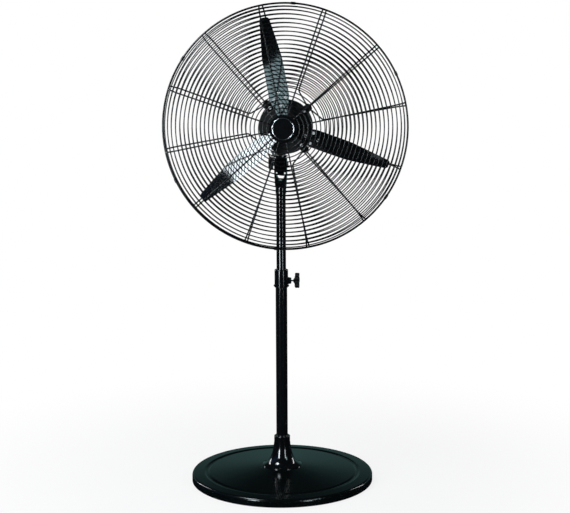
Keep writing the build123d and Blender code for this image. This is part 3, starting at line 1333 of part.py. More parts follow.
def blade_hub():
    """Hub on the shaft with one pitched arm for each blade."""
    half_root = ARM_ROOT_WIDTH / 2
    half = ARM_WIDTH / 2
    half_end = ARM_END_WIDTH / 2
    right = [
        (half_root, 0),
        (half_root, HUB_RADIUS),
        (half, ARM_WAIST),
        (half, ARM_SHOULDER),
        (half_end, ARM_END),
    ]
    left = [(-across, along) for across, along in right]
    outline = make_face(Polyline(*right, *left[::-1], close=True))
    for corner in right[2:] + left[2:]:
        outline = rounded(outline, corner, ARM_ROUND)
    arm = extrude(outline, ARM_SHEET / 2, both=True)
    for across, along in rivet_spots():
        arm -= Pos(across, along, 0) * rod(RIVET_RADIUS + SEAT_GAP, -ARM_SHEET, ARM_SHEET)
    boss = rod(HUB_RADIUS, HUB_BACK, HUB_FRONT)
    boss = chamfer(boss.edges().group_by(Axis.Z)[-1], ARM_SHEET / 2)
    hub = joined([boss] + [blade_frame(arm, index) for index in range(BLADE_COUNT)])
    hub -= rod(SHAFT_RADIUS + SEAT_GAP, HUB_BACK, HUB_FRONT)
    return HEAD * (hub - hub_screw_place(rod(GRUB_RADIUS + SEAT_GAP, 0, 2 * HUB_RADIUS)))


def hub_screw_place(shape):
    """A shape along Z turned to the hub screw's radius, between two arms near the hub's front."""
    place = Pos(0, 0, HUB_FRONT - 2 * GRUB_RADIUS) * Rot(0, 0, -BLADE_PHASE - 180 / BLADE_COUNT)
    return place * to_y(shape)


def hub_screw():
    """Grub screw that locks the hub on the shaft."""
    return HEAD * hub_screw_place(rod(GRUB_RADIUS, SHAFT_RADIUS + SEAT_GAP, HUB_RADIUS - GRUB_RADIUS / 2))


def rotor_shaft():
    """Motor shaft from the gearbox to the blade hub."""
    shaft = rod(SHAFT_RADIUS, SHAFT_BACK, HUB_FRONT)
    return HEAD * chamfer(shaft.edges().group_by(Axis.Z)[-1], POLE_WALL)


def rotor_core():
    """Rotor core on the shaft inside the stator."""
    middle = STATOR_BACK + STATOR_LENGTH / 2
    half = ROTOR_CORE_LENGTH / 2
    return HEAD * tube(ROTOR_CORE_RADIUS, SHAFT_RADIUS + SEAT_GAP, middle - half, middle + half)


NODES = {
    "base_dish": base_dish(),
    "base_feet": base_feet(),
    "pole_socket": pole_socket(),
    "socket_grubs": socket_grubs(),
    "socket_bolts": socket_bolts(),
    "socket_nuts": socket_nuts(),
    "bell_cover": bell_cover(),
    "lower_pole": lower_pole(),
    "pole_collar": pole_collar(),
    "collar_screws": collar_screws(),
    "guide_bush": guide_bush(),
    "height_knob": height_knob(),
    "height_screw": height_screw(),
    "upper_pole": upper_pole(),
    "pole_plug": pole_plug(),
    "yoke": yoke(),
    "yoke_screws": yoke_screws(),
    "tilt_bolt": tilt_bolt(),
    "tilt_washer": tilt_washer(),
    "tilt_knob": tilt_knob(),
    "tilt_nut": tilt_nut(),
    "neck_block": neck_block(),
    "swivel_bush": swivel_bush(),
    "link_stud": link_stud(),
    "front_shield": front_shield(),
    "rear_shield": rear_shield(),
    "swivel_pin": swivel_pin(),
    "motor_bolts": motor_bolts(),
    "front_bearing": bearing(FRONT_BEARING),
    "rear_bearing": bearing(REAR_BEARING),
    "stator_core": stator_core(),
    "stator_coils": stator_coils(),
    "gearbox_case": gearbox_case(),
    "gearbox_lid": gearbox_lid(),
    "lid_screws": lid_screws(),
    "crank_disc": crank_disc(),
    "link_bar": link_bar(),
    "pull_knob": pull_knob(),
    "switch_box": switch_box(),
    "speed_switch": speed_switch(),
    "speed_knob": speed_knob(),
    "run_capacitor": run_capacitor(),
    "cable_gland": cable_gland(),
    "rear_guard_rim": guard_rim(REAR_RIM),
    "rear_guard_rings": rear_guard_rings(),
    "rear_guard_spokes": rear_guard_spokes(),
    "guard_feet": guard_feet(),
    "guard_screws": guard_screws(),
    "front_guard_rim": guard_rim(FRONT_RIM),
    "front_guard_rings": front_guard_rings(),
    "front_guard_spokes": front_guard_spokes(),
    "front_plate": front_plate(),
    "front_cap": front_cap(),
    "guard_clips": guard_clips(),
    "rotor_shaft": rotor_shaft(),
    "rotor_core": rotor_core(),
    "blade_hub": blade_hub(),
    "hub_screw": hub_screw(),
    "blades": group([blade(index) for index in range(BLADE_COUNT)]),
    "blade_rivets": blade_rivets(),
}

os.makedirs("parts", exist_ok=True)
for name, shape in NODES.items():
    export_step(shape, f"parts/{name}.step")
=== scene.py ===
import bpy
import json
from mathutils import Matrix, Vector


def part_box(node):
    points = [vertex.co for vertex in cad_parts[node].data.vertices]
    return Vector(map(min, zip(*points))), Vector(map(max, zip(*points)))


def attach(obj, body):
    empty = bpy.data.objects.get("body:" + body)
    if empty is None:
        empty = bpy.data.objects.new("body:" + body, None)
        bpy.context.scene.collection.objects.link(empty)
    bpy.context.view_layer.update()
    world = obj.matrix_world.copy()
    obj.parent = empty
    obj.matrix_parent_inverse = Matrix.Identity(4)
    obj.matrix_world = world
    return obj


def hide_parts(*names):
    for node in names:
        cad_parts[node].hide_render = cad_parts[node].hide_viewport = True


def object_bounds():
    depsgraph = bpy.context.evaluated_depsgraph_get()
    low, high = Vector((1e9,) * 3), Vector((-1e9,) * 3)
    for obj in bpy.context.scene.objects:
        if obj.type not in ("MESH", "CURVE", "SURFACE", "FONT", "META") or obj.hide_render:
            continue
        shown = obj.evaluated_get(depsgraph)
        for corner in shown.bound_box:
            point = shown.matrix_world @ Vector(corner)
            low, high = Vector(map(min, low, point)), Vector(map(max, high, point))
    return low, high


bl_info = {
    "name": "Pedestal fan",
    "version": (1, 0, 0),
    "blender": (4, 5, 0),
    "location": "View3D > Sidebar > Fan",
    "description": "Paints a pedestal fan, adds its wire guards, cap and blades and sets up a studio",
    "category": "Object",
}

import json

import bpy
import numpy as np
from bpy.props import FloatProperty, FloatVectorProperty, IntProperty, PointerProperty
from bpy.types import Operator, Panel, PropertyGroup
from mathutils import Matrix, Vector

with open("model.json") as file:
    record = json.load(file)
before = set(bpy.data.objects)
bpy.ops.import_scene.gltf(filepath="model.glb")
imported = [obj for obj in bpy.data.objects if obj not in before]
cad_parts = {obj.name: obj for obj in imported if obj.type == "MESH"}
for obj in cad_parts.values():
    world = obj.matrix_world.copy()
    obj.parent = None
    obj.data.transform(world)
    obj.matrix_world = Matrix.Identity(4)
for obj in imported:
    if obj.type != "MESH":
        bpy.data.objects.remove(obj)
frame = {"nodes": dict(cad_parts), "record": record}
NODES = frame["nodes"]
CAD_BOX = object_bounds()

# Places read from the frame, in metres. The fan's axis runs along -Y through AXIS_X and AXIS_Z.
RIM_LOW, RIM_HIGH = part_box("front_guard_rim")
REAR_RIM_LOW, REAR_RIM_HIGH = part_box("rear_guard_rim")
AXIS_X = (RIM_LOW.x + RIM_HIGH.x) / 2
AXIS_Z = (RIM_LOW.z + RIM_HIGH.z) / 2
RIM_WIRE = (RIM_HIGH.y - RIM_LOW.y) / 2
RIM_RADIUS = (RIM_HIGH.x - RIM_LOW.x) / 2 - RIM_WIRE
FRONT_RIM = -(RIM_LOW.y + RIM_HIGH.y) / 2
REAR_RIM = -(REAR_RIM_LOW.y + REAR_RIM_HIGH.y) / 2
FOOT_FACE = -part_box("guard_feet")[0].y
PLATE_BACK = -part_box("front_plate")[1].y
FULL_TURN = 2 * np.pi


class GuardSizes(PropertyGroup):
    """Sizes of the wire guards."""

    spoke_wire: FloatProperty(
        name="Spoke wire", description="Radius of the spokes", default=0.0024, unit="LENGTH"
    )
    ring_wire: FloatProperty(
        name="Ring wire", description="Radius of the rings", default=0.0018, unit="LENGTH"
    )
    ring_pitch: FloatProperty(
        name="Ring pitch", description="Distance between rings along a spoke", default=0.0134, unit="LENGTH"
    )
    weld_gap: FloatProperty(
        name="Weld gap", description="Space between crossing wires", default=0.00005, unit="LENGTH"
    )
    spoke_count: IntProperty(name="Spokes", description="Spokes in each guard", default=12)
    spoke_phase: FloatProperty(
        name="First spoke",
        description="Clockwise angle of the first spoke from the top",
        default=np.radians(-10.8),
        subtype="ANGLE",
    )
    front_turn: FloatProperty(
        name="Front turn",
        description="How far the front guard is turned",
        default=np.radians(-0.9),
        subtype="ANGLE",
    )
    rear_turn: FloatProperty(
        name="Rear turn",
        description="How far the rear guard is turned",
        default=np.radians(0.6),
        subtype="ANGLE",
    )


class BladeSizes(PropertyGroup):
    """Sizes of the pressed blades."""

    count: IntProperty(name="Blades", description="Blades on the hub", default=3)
    phase: FloatProperty(
        name="First blade",
        description="Clockwise angle of the first blade from the top",
        default=np.radians(-10.5),
        subtype="ANGLE",
    )
    pitch: FloatProperty(
        name="Pitch", description="Lean of the blade's root", default=np.radians(30.0), subtype="ANGLE"
    )
    twist: FloatProperty(
        name="Twist", description="Further lean of the tip", default=np.radians(12.0), subtype="ANGLE"
    )
    hollow: FloatProperty(
        name="Hollow", description="Sag across the sheet at the tip", default=0.003, unit="LENGTH"
    )
    sheet: FloatProperty(name="Sheet", description="Thickness", default=0.0018, unit="LENGTH")
    seat: FloatProperty(
        name="Seat", description="Back of the root ahead of the hub's middle", default=0.002, unit="LENGTH"
    )


class FinishColours(PropertyGroup):
    """Colours of the finishes."""

    paint: FloatVectorProperty(
        name="Gloss paint", description="Stand and pole", default=(0.0026, 0.0031, 0.0038), subtype="COLOR"
    )
    # Near-black dish paint. Its teal cast is painted sheen that copies the teal reflection on the dish's
    # top.
    base: FloatVectorProperty(
        name="Base paint",
        description="Dish under the pole",
        default=(0.0016, 0.0028, 0.0030),
        subtype="COLOR",
    )
    casing: FloatVectorProperty(
        name="Casing paint",
        description="Motor and gearbox",
        default=(0.0034, 0.0036, 0.0040),
        subtype="COLOR",
    )
    wire: FloatVectorProperty(
        name="Wire coating", description="Guard wires", default=(0.0040, 0.0044, 0.0050), subtype="COLOR"
    )
    blade: FloatVectorProperty(
        name="Blade paint", description="Blades and hub", default=(0.0028, 0.0034, 0.0040), subtype="COLOR"
    )
    plastic: FloatVectorProperty(
        name="Plastic",
        description="Knobs and control box",
        default=(0.0042, 0.0042, 0.0046),
        subtype="COLOR",
    )
    zinc: FloatVectorProperty(
        name="Zinc plate", description="Screws and links", default=(0.62, 0.64, 0.67), subtype="COLOR"
    )


class StudioSettings(PropertyGroup):
    """Camera and lamps."""

    focal_pixels: FloatProperty(name="Focal length", description="In image pixels", default=1377.4)
    distance: FloatProperty(
        name="Distance", description="Camera to the pole's axis", default=4.5506, unit="LENGTH"
    )
    height: FloatProperty(name="Height", description="Camera above the floor", default=1.4964, unit="LENGTH")
    azimuth: FloatProperty(
        name="Azimuth",
        description="Camera to the right of the front",
        default=np.radians(4.52),
        subtype="ANGLE",
    )
    pitch: FloatProperty(
        name="Pitch", description="Camera looks down", default=np.radians(9.063), subtype="ANGLE"
    )
    yaw: FloatProperty(
        name="Yaw", description="Camera looks past the pole", default=np.radians(-0.159), subtype="ANGLE"
    )
    roll: FloatProperty(name="Roll", description="Camera leans", default=np.radians(-0.265), subtype="ANGLE")
    left_power: FloatProperty(name="Left strip", description="Power", default=40.0, unit="POWER")
    right_power: FloatProperty(name="Right strip", description="Power", default=12.5, unit="POWER")
    top_power: FloatProperty(name="Top lamp", description="Power", default=21.0, unit="POWER")
    fill_power: FloatProperty(name="Fill lamp", description="Power", default=5.5, unit="POWER")
    near_power: FloatProperty(name="Near lamp", description="Power", default=9.0, unit="POWER")
    rear_power: FloatProperty(name="Rear lamps", description="Power of each", default=16.0, unit="POWER")
    ambient: FloatProperty(name="Ambient", description="Strength of the room's light", default=0.2)


# Shader maths

# Places of the mix node's colours among its sockets.
MIX_FIRST, MIX_SECOND, MIX_RESULT = 6, 7, 2


class Tap:
    """A shader socket that takes part in Python expressions."""

    def __init__(self, bench, socket):
        self.bench = bench
        self.socket = socket

    def maths(self, operation, first, second):
        return self.bench.node("ShaderNodeMath", {"operation": operation}, {0: first, 1: second})

    def __add__(self, other):
        return self.maths("ADD", self, other)

    def __mul__(self, other):
        return self.maths("MULTIPLY", self, other)

    def above(self, other):
        return self.maths("GREATER_THAN", self, other)

    def about(self, middle, width):
        """Cloudy values moved about a middle and spread over a width."""
        return self * width + (middle - width / 2)


class Bench:
    """The node tree of a material or a world."""

    def __init__(self, owner):
        owner.use_nodes = True
        self.owner = owner
        self.tree = owner.node_tree
        self.tree.nodes.clear()

    def node(self, kind, settings=None, sockets=None, output=0):
        """Adds a node: its settings first, then the values or links of its sockets."""
        made = self.tree.nodes.new(kind)
        for key, value in (settings or {}).items():
            setattr(made, key, value)
        for key, value in (sockets or {}).items():
            if isinstance(value, Tap):
                self.tree.links.new(value.socket, made.inputs[key])
            else:
                made.inputs[key].default_value = value
        return Tap(self, made.outputs[output]) if made.outputs else made

    def place(self):
        """Coordinates on the piece."""
        return self.node("ShaderNodeTexCoord", output="Object")

    def noise(self, scale, detail, stretch=(1.0, 1.0, 1.0)):
        """Cloudy values about one half, finer along an axis where the stretch is greater."""
        place = self.node("ShaderNodeMapping", {}, {"Vector": self.place(), "Scale": stretch})
        sockets = {"Vector": place, "Scale": scale, "Detail": detail}
        return self.node("ShaderNodeTexNoise", {}, sockets, "Fac")

    def mix(self, share, first, second):
        """Colour between two."""
        settings = {"data_type": "RGBA", "clamp_factor": True}
        sockets = {"Factor": share, MIX_FIRST: first, MIX_SECOND: second}
        return self.node("ShaderNodeMix", settings, sockets, MIX_RESULT)

    def bump(self, height, depth, strength=1.0):
        """Surface relief of a depth in metres."""
        sockets = {"Height": height, "Distance": depth, "Strength": strength}
        return self.node("ShaderNodeBump", {}, sockets)

    def finish(self, **sockets):
        """Ends the tree in a surface shader and returns the material."""
        named = {key.replace("_", " "): value for key, value in sockets.items()}
        shader = self.node("ShaderNodeBsdfPrincipled", {}, named)
        self.node("ShaderNodeOutputMaterial", {}, {"Surface": shader})
        return self.owner


# Finishes

DUST_COLOUR = (0.35, 0.36, 0.37)
DUST_SHARE = 0.04
SPECK_LEVEL = 0.68
UPWARD_LEVEL = 0.75
# How the lines of plated metal are drawn out.
EVEN = (1.0, 1.0, 1.0)
ACROSS_AXIS = (0.15, 1.0, 0.15)
UPRIGHT = (1.0, 1.0, 0.2)


def material_bench(name):
    """The emptied node tree of a new material."""
    return Bench(bpy.data.materials.new(name))


def rgba(colour, gain=1.0):
    """A colour with its brightness changed, as four numbers."""
    return (*(min(channel * gain, 1.0) for channel in colour), 1.0)


def gloss_paint(name, colour, roughness, coat, peel=0.000003, shine=0.5):
    """Gloss paint under clear lacquer: cloudy depth, orange peel and a little dust on what faces up."""
    bench = material_bench(name)
    clouds = bench.noise(scale=9.0, detail=4.0)
    peel_relief = bench.noise(scale=260.0, detail=1.0)
    normal = bench.node("ShaderNodeNewGeometry", output="Normal")
    upward = bench.node("ShaderNodeSeparateXYZ", {}, {"Vector": normal}, "Z")
    specks = bench.noise(scale=900.0, detail=1.0).above(SPECK_LEVEL) * upward.above(UPWARD_LEVEL)
    dust = specks * bench.noise(scale=14.0, detail=2.0) * DUST_SHARE
    shade = bench.mix(clouds, rgba(colour, gain=0.75), rgba(colour, gain=1.3))
    return bench.finish(
        Base_Color=bench.mix(dust, shade, rgba(DUST_COLOUR)),
        Roughness=clouds.about(roughness, width=0.06),
        Specular_IOR_Level=shine,
        Coat_Weight=clouds.about(coat, width=0.1),
        Coat_Roughness=roughness / 2,
        Normal=bench.bump(peel_relief, peel),
    )


def satin_paint(name, colour, roughness):
    """Powder coat: fine pebbling and uneven sheen."""
    bench = material_bench(name)
    clouds = bench.noise(scale=18.0, detail=3.0)
    pebble = bench.noise(scale=700.0, detail=2.0)
    return bench.finish(
        Base_Color=bench.mix(clouds, rgba(colour, gain=0.7), rgba(colour, gain=1.4)),
        Roughness=pebble.about(roughness, width=0.12) + clouds.about(0.0, width=0.08),
        Normal=bench.bump(pebble, depth=0.00008, strength=0.6),
    )


def grained_plastic(name, colour, roughness):
    """Moulded plastic with a fine spark-eroded grain."""
    bench = material_bench(name)
    grain = bench.noise(scale=1600.0, detail=2.0)
    clouds = bench.noise(scale=25.0, detail=2.0)
    return bench.finish(
        Base_Color=bench.mix(clouds, rgba(colour, gain=0.8), rgba(colour, gain=1.4)),
        Roughness=grain.about(roughness, width=0.18),
        Normal=bench.bump(grain, depth=0.00012, strength=0.8),
    )


def plated_steel(name, colour, roughness, stretch):
    """Plated or ground metal: fine lines, drawn out where the stretch is small, and cloudy brightness."""
    bench = material_bench(name)
    lines = bench.noise(scale=260.0, detail=3.0, stretch=stretch)
    clouds = bench.noise(scale=60.0, detail=2.0)
    return bench.finish(
        Base_Color=bench.mix(clouds, rgba(colour, gain=0.8), rgba(colour, gain=1.12)),
        Metallic=1.0,
        Roughness=lines.about(roughness, width=0.2) + clouds.about(0.0, width=0.1),
        Normal=bench.bump(lines, depth=0.00004, strength=0.6),
    )


def polished_trim(name, colour, roughness):
    """Polished plate with faint clouds."""
    bench = material_bench(name)
    clouds = bench.noise(scale=60.0, detail=2.0)
    shade = bench.mix(clouds, rgba(colour, gain=0.9), rgba(colour, gain=1.05))
    return bench.finish(Base_Color=shade, Metallic=1.0, Roughness=clouds.about(roughness, width=0.08))


def dull_alloy(name, colour, roughness):
    """Bare alloy under a pale, dull oxide."""
    bench = material_bench(name)
    clouds = bench.noise(scale=120.0, detail=3.0)
    return bench.finish(
        Base_Color=bench.mix(clouds, rgba(colour, gain=0.85), rgba(colour, gain=1.1)),
        Metallic=clouds * 0.2,
        Roughness=clouds.about(roughness, width=0.2),
        Normal=bench.bump(clouds, depth=0.00005),
    )


def banded(name, colour, scale, metallic, roughness):
    """Stacked sheets or windings: narrow bands across the fan's axis."""
    bench = material_bench(name)
    bands = bench.node(
        "ShaderNodeTexWave",
        {"wave_type": "BANDS", "bands_direction": "Y"},
        {"Vector": bench.place(), "Scale": scale, "Distortion": 0.6},
        "Fac",
    )
    clouds = bench.noise(scale=40.0, detail=2.0)
    share = bands * 0.7 + clouds * 0.3
    return bench.finish(
        Base_Color=bench.mix(share, rgba(colour, gain=0.45), rgba(colour, gain=1.2)),
        Metallic=metallic,
        Roughness=clouds.about(roughness, width=0.2),
        Normal=bench.bump(bands, depth=0.0002),
    )


def rubber(name, colour, roughness):
    """Soft rubber with a dull, mottled skin."""
    bench = material_bench(name)
    mottle = bench.noise(scale=300.0, detail=4.0)
    return bench.finish(
        Base_Color=bench.mix(mottle, rgba(colour, gain=0.6), rgba(colour, gain=1.6)),
        Roughness=mottle.about(roughness, width=0.2),
        Normal=bench.bump(mottle, depth=0.0002),
    )


def make_finishes(colours):
    """Every finish by its name, which is the record's slot for most."""
    grey, iron, copper = (0.06, 0.06, 0.065), (0.18, 0.18, 0.19), (0.62, 0.25, 0.09)
    alloy, trim, bronze = (0.93, 0.94, 0.95), (0.6, 0.62, 0.65), (0.58, 0.5, 0.4)
    soft_black = (0.02, 0.02, 0.02)
    recipes = {
        "gloss_black": (gloss_paint, dict(colour=colours.paint, roughness=0.14, coat=0.95)),
        # The dish colour's teal cast is painted sheen on near-black paint.
        "base_gloss": (gloss_paint, dict(colour=colours.base, roughness=0.15, coat=0.05, peel=0.000001)),
        "satin_black": (satin_paint, dict(colour=colours.casing, roughness=0.34)),
        "cast_black": (satin_paint, dict(colour=colours.casing, roughness=0.38)),
        "wire_black": (satin_paint, dict(colour=colours.wire, roughness=0.2)),
        "blade_black": (gloss_paint, dict(colour=colours.blade, roughness=0.1, coat=0.9, peel=0.000001)),
        "knob_black": (grained_plastic, dict(colour=colours.plastic, roughness=0.38)),
        "cap_black": (
            gloss_paint,
            dict(colour=colours.paint, roughness=0.24, coat=0.06, peel=0.000001, shine=0.12),
        ),
        "nylon_black": (grained_plastic, dict(colour=colours.plastic, roughness=0.55)),
        "capacitor_grey": (grained_plastic, dict(colour=grey, roughness=0.5)),
        "zinc_steel": (plated_steel, dict(colour=colours.zinc, roughness=0.48, stretch=EVEN)),
        "bright_steel": (plated_steel, dict(colour=colours.zinc, roughness=0.3, stretch=ACROSS_AXIS)),
        "dull_alloy": (dull_alloy, dict(colour=alloy, roughness=0.4)),
        "polished_trim": (polished_trim, dict(colour=trim, roughness=0.18)),
        "bronze": (plated_steel, dict(colour=bronze, roughness=0.42, stretch=UPRIGHT)),
        "core_iron": (banded, dict(colour=iron, scale=320.0, metallic=0.9, roughness=0.5)),
        "copper": (banded, dict(colour=copper, scale=160.0, metallic=0.9, roughness=0.38)),
        "rubber": (rubber, dict(colour=soft_black, roughness=0.75)),
    }
    return {name: maker(name, **settings) for name, (maker, settings) in recipes.items()}


# Finishes once they are made, and the parts that wear another one than their slot's.
FINISHES = {}
OWN_FINISHES = {
    "base_dish": "base_gloss",
    "pole_collar": "gloss_black",
    "front_plate": "cap_black",
    "blade_rivets": "dull_alloy",
    "guard_screws": "dull_alloy",
    "collar_screws": "cast_black",
    "height_screw": "cast_black",
}


def wear(piece, finish):
    """Gives a piece one finish in place of what it had."""
    piece.data.materials.clear()
    piece.data.materials.append(FINISHES[finish])


class FAN_OT_paint_parts(Operator):
    """Finishes on all the parts of the frame"""

    bl_idname = "fan.paint_parts"
    bl_label = "Paint parts"

    def execute(self, context):
        FINISHES.update(make_finishes(context.scene.fan_colours))
        for entry in frame["record"]["subparts"]:
            wear(NODES[entry["node"]], entry["material_slot"])
        for node, finish in OWN_FINISHES.items():
            wear(NODES[node], finish)
        return {"FINISHED"}


# Surfaces

SHARP_ANGLE = np.radians(40.0)


def unit(vectors):
    """Vectors of length one."""
    return vectors / np.linalg.norm(vectors, axis=-1, keepdims=True)


def rounded_line(corners, radii, steps=10):
    """Straight runs joined by arcs that touch both runs: each arc turns from one tangent point to the
    other about a centre on the corner's bisector, by blending its two end radii by their sines."""
    corners = np.asarray(corners, float)
    share = np.linspace(0.0, 1.0, steps + 1)[:, None]
    runs = [corners[:1]]
    for before, corner, after, radius in zip(corners, corners[1:], corners[2:], radii):
        back = unit(before - corner)
        ahead = unit(after - corner)
        half = np.arccos(np.clip(back @ ahead, -1.0, 1.0)) / 2
        centre = corner + unit(back + ahead) * radius / np.sin(half)
        first = unit(corner + back * radius / np.tan(half) - centre)
        last = unit(corner + ahead * radius / np.tan(half) - centre)
        swing = np.pi - 2 * half
        arc = (np.sin((1 - share) * swing) * first + np.sin(share * swing) * last) / np.sin(swing)
        runs.append(centre + radius * arc)
    runs.append(corners[-1:])
    return np.vstack(runs)


def tube(path, across, radius, sides):
    """A circle carried along a path: at each point the circle lies in the plane square to the path,
    measured from a fixed direction across it."""
    ahead = unit(np.gradient(path, axis=0))
    side = unit(across - (ahead @ across)[:, None] * ahead)
    rise = np.cross(ahead, side)
    turn = np.arange(sides) * FULL_TURN / sides
    return (
        path[:, None, :]
        + radius * np.cos(turn)[None, :, None] * side[:, None, :]
        + radius * np.sin(turn)[None, :, None] * rise[:, None, :]
    )


def hoops(radii, stations, wire, turns, sides):
    """Wire rings about the fan's axis: a circle of the wire's radius carried round each ring."""
    round_turn = np.arange(turns) * FULL_TURN / turns
    wire_turn = np.arange(sides) * FULL_TURN / sides
    reach = radii[:, None, None] + wire * np.cos(wire_turn)[None, None, :]
    ahead = stations[:, None, None] + wire * np.sin(wire_turn)[None, None, :]
    across = reach * np.sin(round_turn)[None, :, None]
    up = reach * np.cos(round_turn)[None, :, None]
    return np.stack([across, up, np.broadcast_to(ahead, across.shape)], axis=-1)


def turned(profile, turns):
    """A profile carried round the fan's axis: each point, a radius and a station, makes a circle."""
    turn = np.arange(turns) * FULL_TURN / turns
    across = profile[:, :1] * np.sin(turn)
    up = profile[:, :1] * np.cos(turn)
    ahead = np.broadcast_to(profile[:, 1:], across.shape)
    return np.stack([across, up, ahead], axis=-1)[None]


def turned_copies(grid, angles):
    """Copies of a grid turned clockwise about the fan's axis."""
    cosine = np.cos(angles)[:, None, None]
    sine = np.sin(angles)[:, None, None]
    across = grid[None, ..., 0] * cosine + grid[None, ..., 1] * sine
    up = grid[None, ..., 1] * cosine - grid[None, ..., 0] * sine
    ahead = np.broadcast_to(grid[None, ..., 2], across.shape)
    return np.stack([across, up, ahead], axis=-1)


def to_world(points):
    """From the head's frame, across, up and ahead along the fan's axis, to the row's frame."""
    across, up, ahead = np.moveaxis(points, -1, 0)
    return np.stack([across + AXIS_X, -ahead, up + AXIS_Z], axis=-1)


def grid_faces(count, rows, columns, loop_rows):
    """Faces of several grids whose columns close on themselves, with the rows closed or capped."""
    starts = np.arange(count)[:, None, None] * rows * columns
    row = np.arange(rows if loop_rows else rows - 1)[None, :, None]
    column = np.arange(columns)[None, None, :]
    next_row = (row + 1) % rows
    next_column = (column + 1) % columns
    corners = [
        starts + row * columns + column,
        starts + row * columns + next_column,
        starts + next_row * columns + next_column,
        starts + next_row * columns + column,
    ]
    quads = np.stack(np.broadcast_arrays(*corners), axis=-1).reshape(-1, 4).tolist()
    if loop_rows:
        return quads
    first = starts[:, 0, :] + np.arange(columns)[None, ::-1]
    last = starts[:, 0, :] + (rows - 1) * columns + np.arange(columns)[None, :]
    return quads + first.tolist() + last.tolist()


def surface(name, grids, body, finish, loop_rows=False, flip=False):
    """One piece from equal grids of points in the row's frame, riding on a body."""
    count, rows, columns = grids.shape[:3]
    faces = grid_faces(count, rows, columns, loop_rows)
    if flip:
        faces = [face[::-1] for face in faces]
    mesh = bpy.data.meshes.new(name)
    mesh.from_pydata(grids.reshape(-1, 3).tolist(), [], faces)
    mesh.polygons.foreach_set("use_smooth", np.ones(len(mesh.polygons), bool))
    mesh.set_sharp_from_angle(angle=SHARP_ANGLE)
    mesh.update()
    piece = bpy.data.objects.new(name, mesh)
    bpy.context.scene.collection.objects.link(piece)
    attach(piece, body)
    wear(piece, finish)
    return piece


# Guards, with radii from the fan's axis and stations along it

SHOULDER_INSET = 0.0225
SHOULDER_RADIUS = RIM_RADIUS - SHOULDER_INSET
SHOULDER_ROUND = 0.045
RIM_MIDDLE = (FRONT_RIM + REAR_RIM) / 2
FRONT_BULGE = 0.038
REAR_BULGE = 0.042
FRONT_SHOULDER = RIM_MIDDLE + FRONT_BULGE
REAR_SHOULDER = RIM_MIDDLE - REAR_BULGE
FRONT_SPOKE_START = 0.030
FRONT_RING_START = 0.052
REAR_SPOKE_START = 0.090
REAR_RING_START = 0.132
REAR_BEND_RADIUS = 0.124
REAR_BEND_ROUND = 0.014
REAR_SPOKE_SIDE = 0.007
REAR_FOOT_END = 0.097
GUARD_FEET = 4
FIRST_FOOT_SPOKE = 2
SPOKE_SIDE = np.array([1.0, 0.0, 0.0])
WIRE_SIDES = 10
RING_TURNS = 120
RING_LINE_STEPS = 60
RIM_SIDES = 20
RIM_TURNS = 240
CAP_FACE_DROP = 0.0012
CAP_LIP = 0.0008
CAP_EDGE_ROUND = 0.0004
CAP_EDGE_STEPS = 6
CAP_TURNS = 96
TRIM_INSET = 0.0047
TRIM_RISE = 0.0011
TRIM_SIDES = 24


def flank_corners(guard, shoulder, rim):
    """Corners of a spoke's end, from its shoulder to the rim that it is welded to."""
    drop = rim - shoulder
    share = 1 - (RIM_WIRE + guard.weld_gap) / np.hypot(SHOULDER_INSET, drop)
    end = (0, SHOULDER_RADIUS + share * SHOULDER_INSET, shoulder + share * drop)
    return [(0, SHOULDER_RADIUS, shoulder), end]


def front_line(guard):
    """Corners of a front spoke."""
    centre = PLATE_BACK - guard.spoke_wire - guard.weld_gap
    return [(0, FRONT_SPOKE_START, centre)] + flank_corners(guard, FRONT_SHOULDER, FRONT_RIM)


def rear_line(guard, start):
    """Corners of a rear spoke from a radius outwards, on the line from its foot to its shoulder."""
    centre = FOOT_FACE + guard.spoke_wire + guard.weld_gap
    share = (start - REAR_SPOKE_START) / (SHOULDER_RADIUS - REAR_SPOKE_START)
    height = centre + share * (REAR_SHOULDER - centre)
    return [(0, start, height)] + flank_corners(guard, REAR_SHOULDER, REAR_RIM)


def run_lengths(line):
    """Distance along a line at each of its points."""
    return np.concatenate([[0.0], np.cumsum(np.linalg.norm(np.diff(line, axis=0), axis=1))])


def ring_places(guard, corners, first_radius, side):
    """Radius and station of each ring: evenly spaced along the spoke's line and lifted to one side."""
    line = rounded_line(corners, [SHOULDER_ROUND], RING_LINE_STEPS)
    lengths = run_lengths(line)
    lift = guard.spoke_wire + guard.ring_wire + guard.weld_gap
    start = first_radius - corners[0][1]
    last = lengths[-1] - guard.ring_pitch
    along = start + guard.ring_pitch * np.arange(int((last - start) / guard.ring_pitch) + 1)
    spot = np.stack([np.interp(along, lengths, line[:, axis]) for axis in (1, 2)])
    slope = np.gradient(line, lengths, axis=0)
    ahead = np.stack([np.interp(along, lengths, slope[:, axis]) for axis in (1, 2)])
    ahead = ahead / np.linalg.norm(ahead, axis=0)
    return spot[0] - side * ahead[1] * lift, spot[1] + side * ahead[0] * lift


def spoke_angles(guard, turn):
    """Clockwise angles of a guard's spokes."""
    return guard.spoke_phase + turn + np.arange(guard.spoke_count) * FULL_TURN / guard.spoke_count


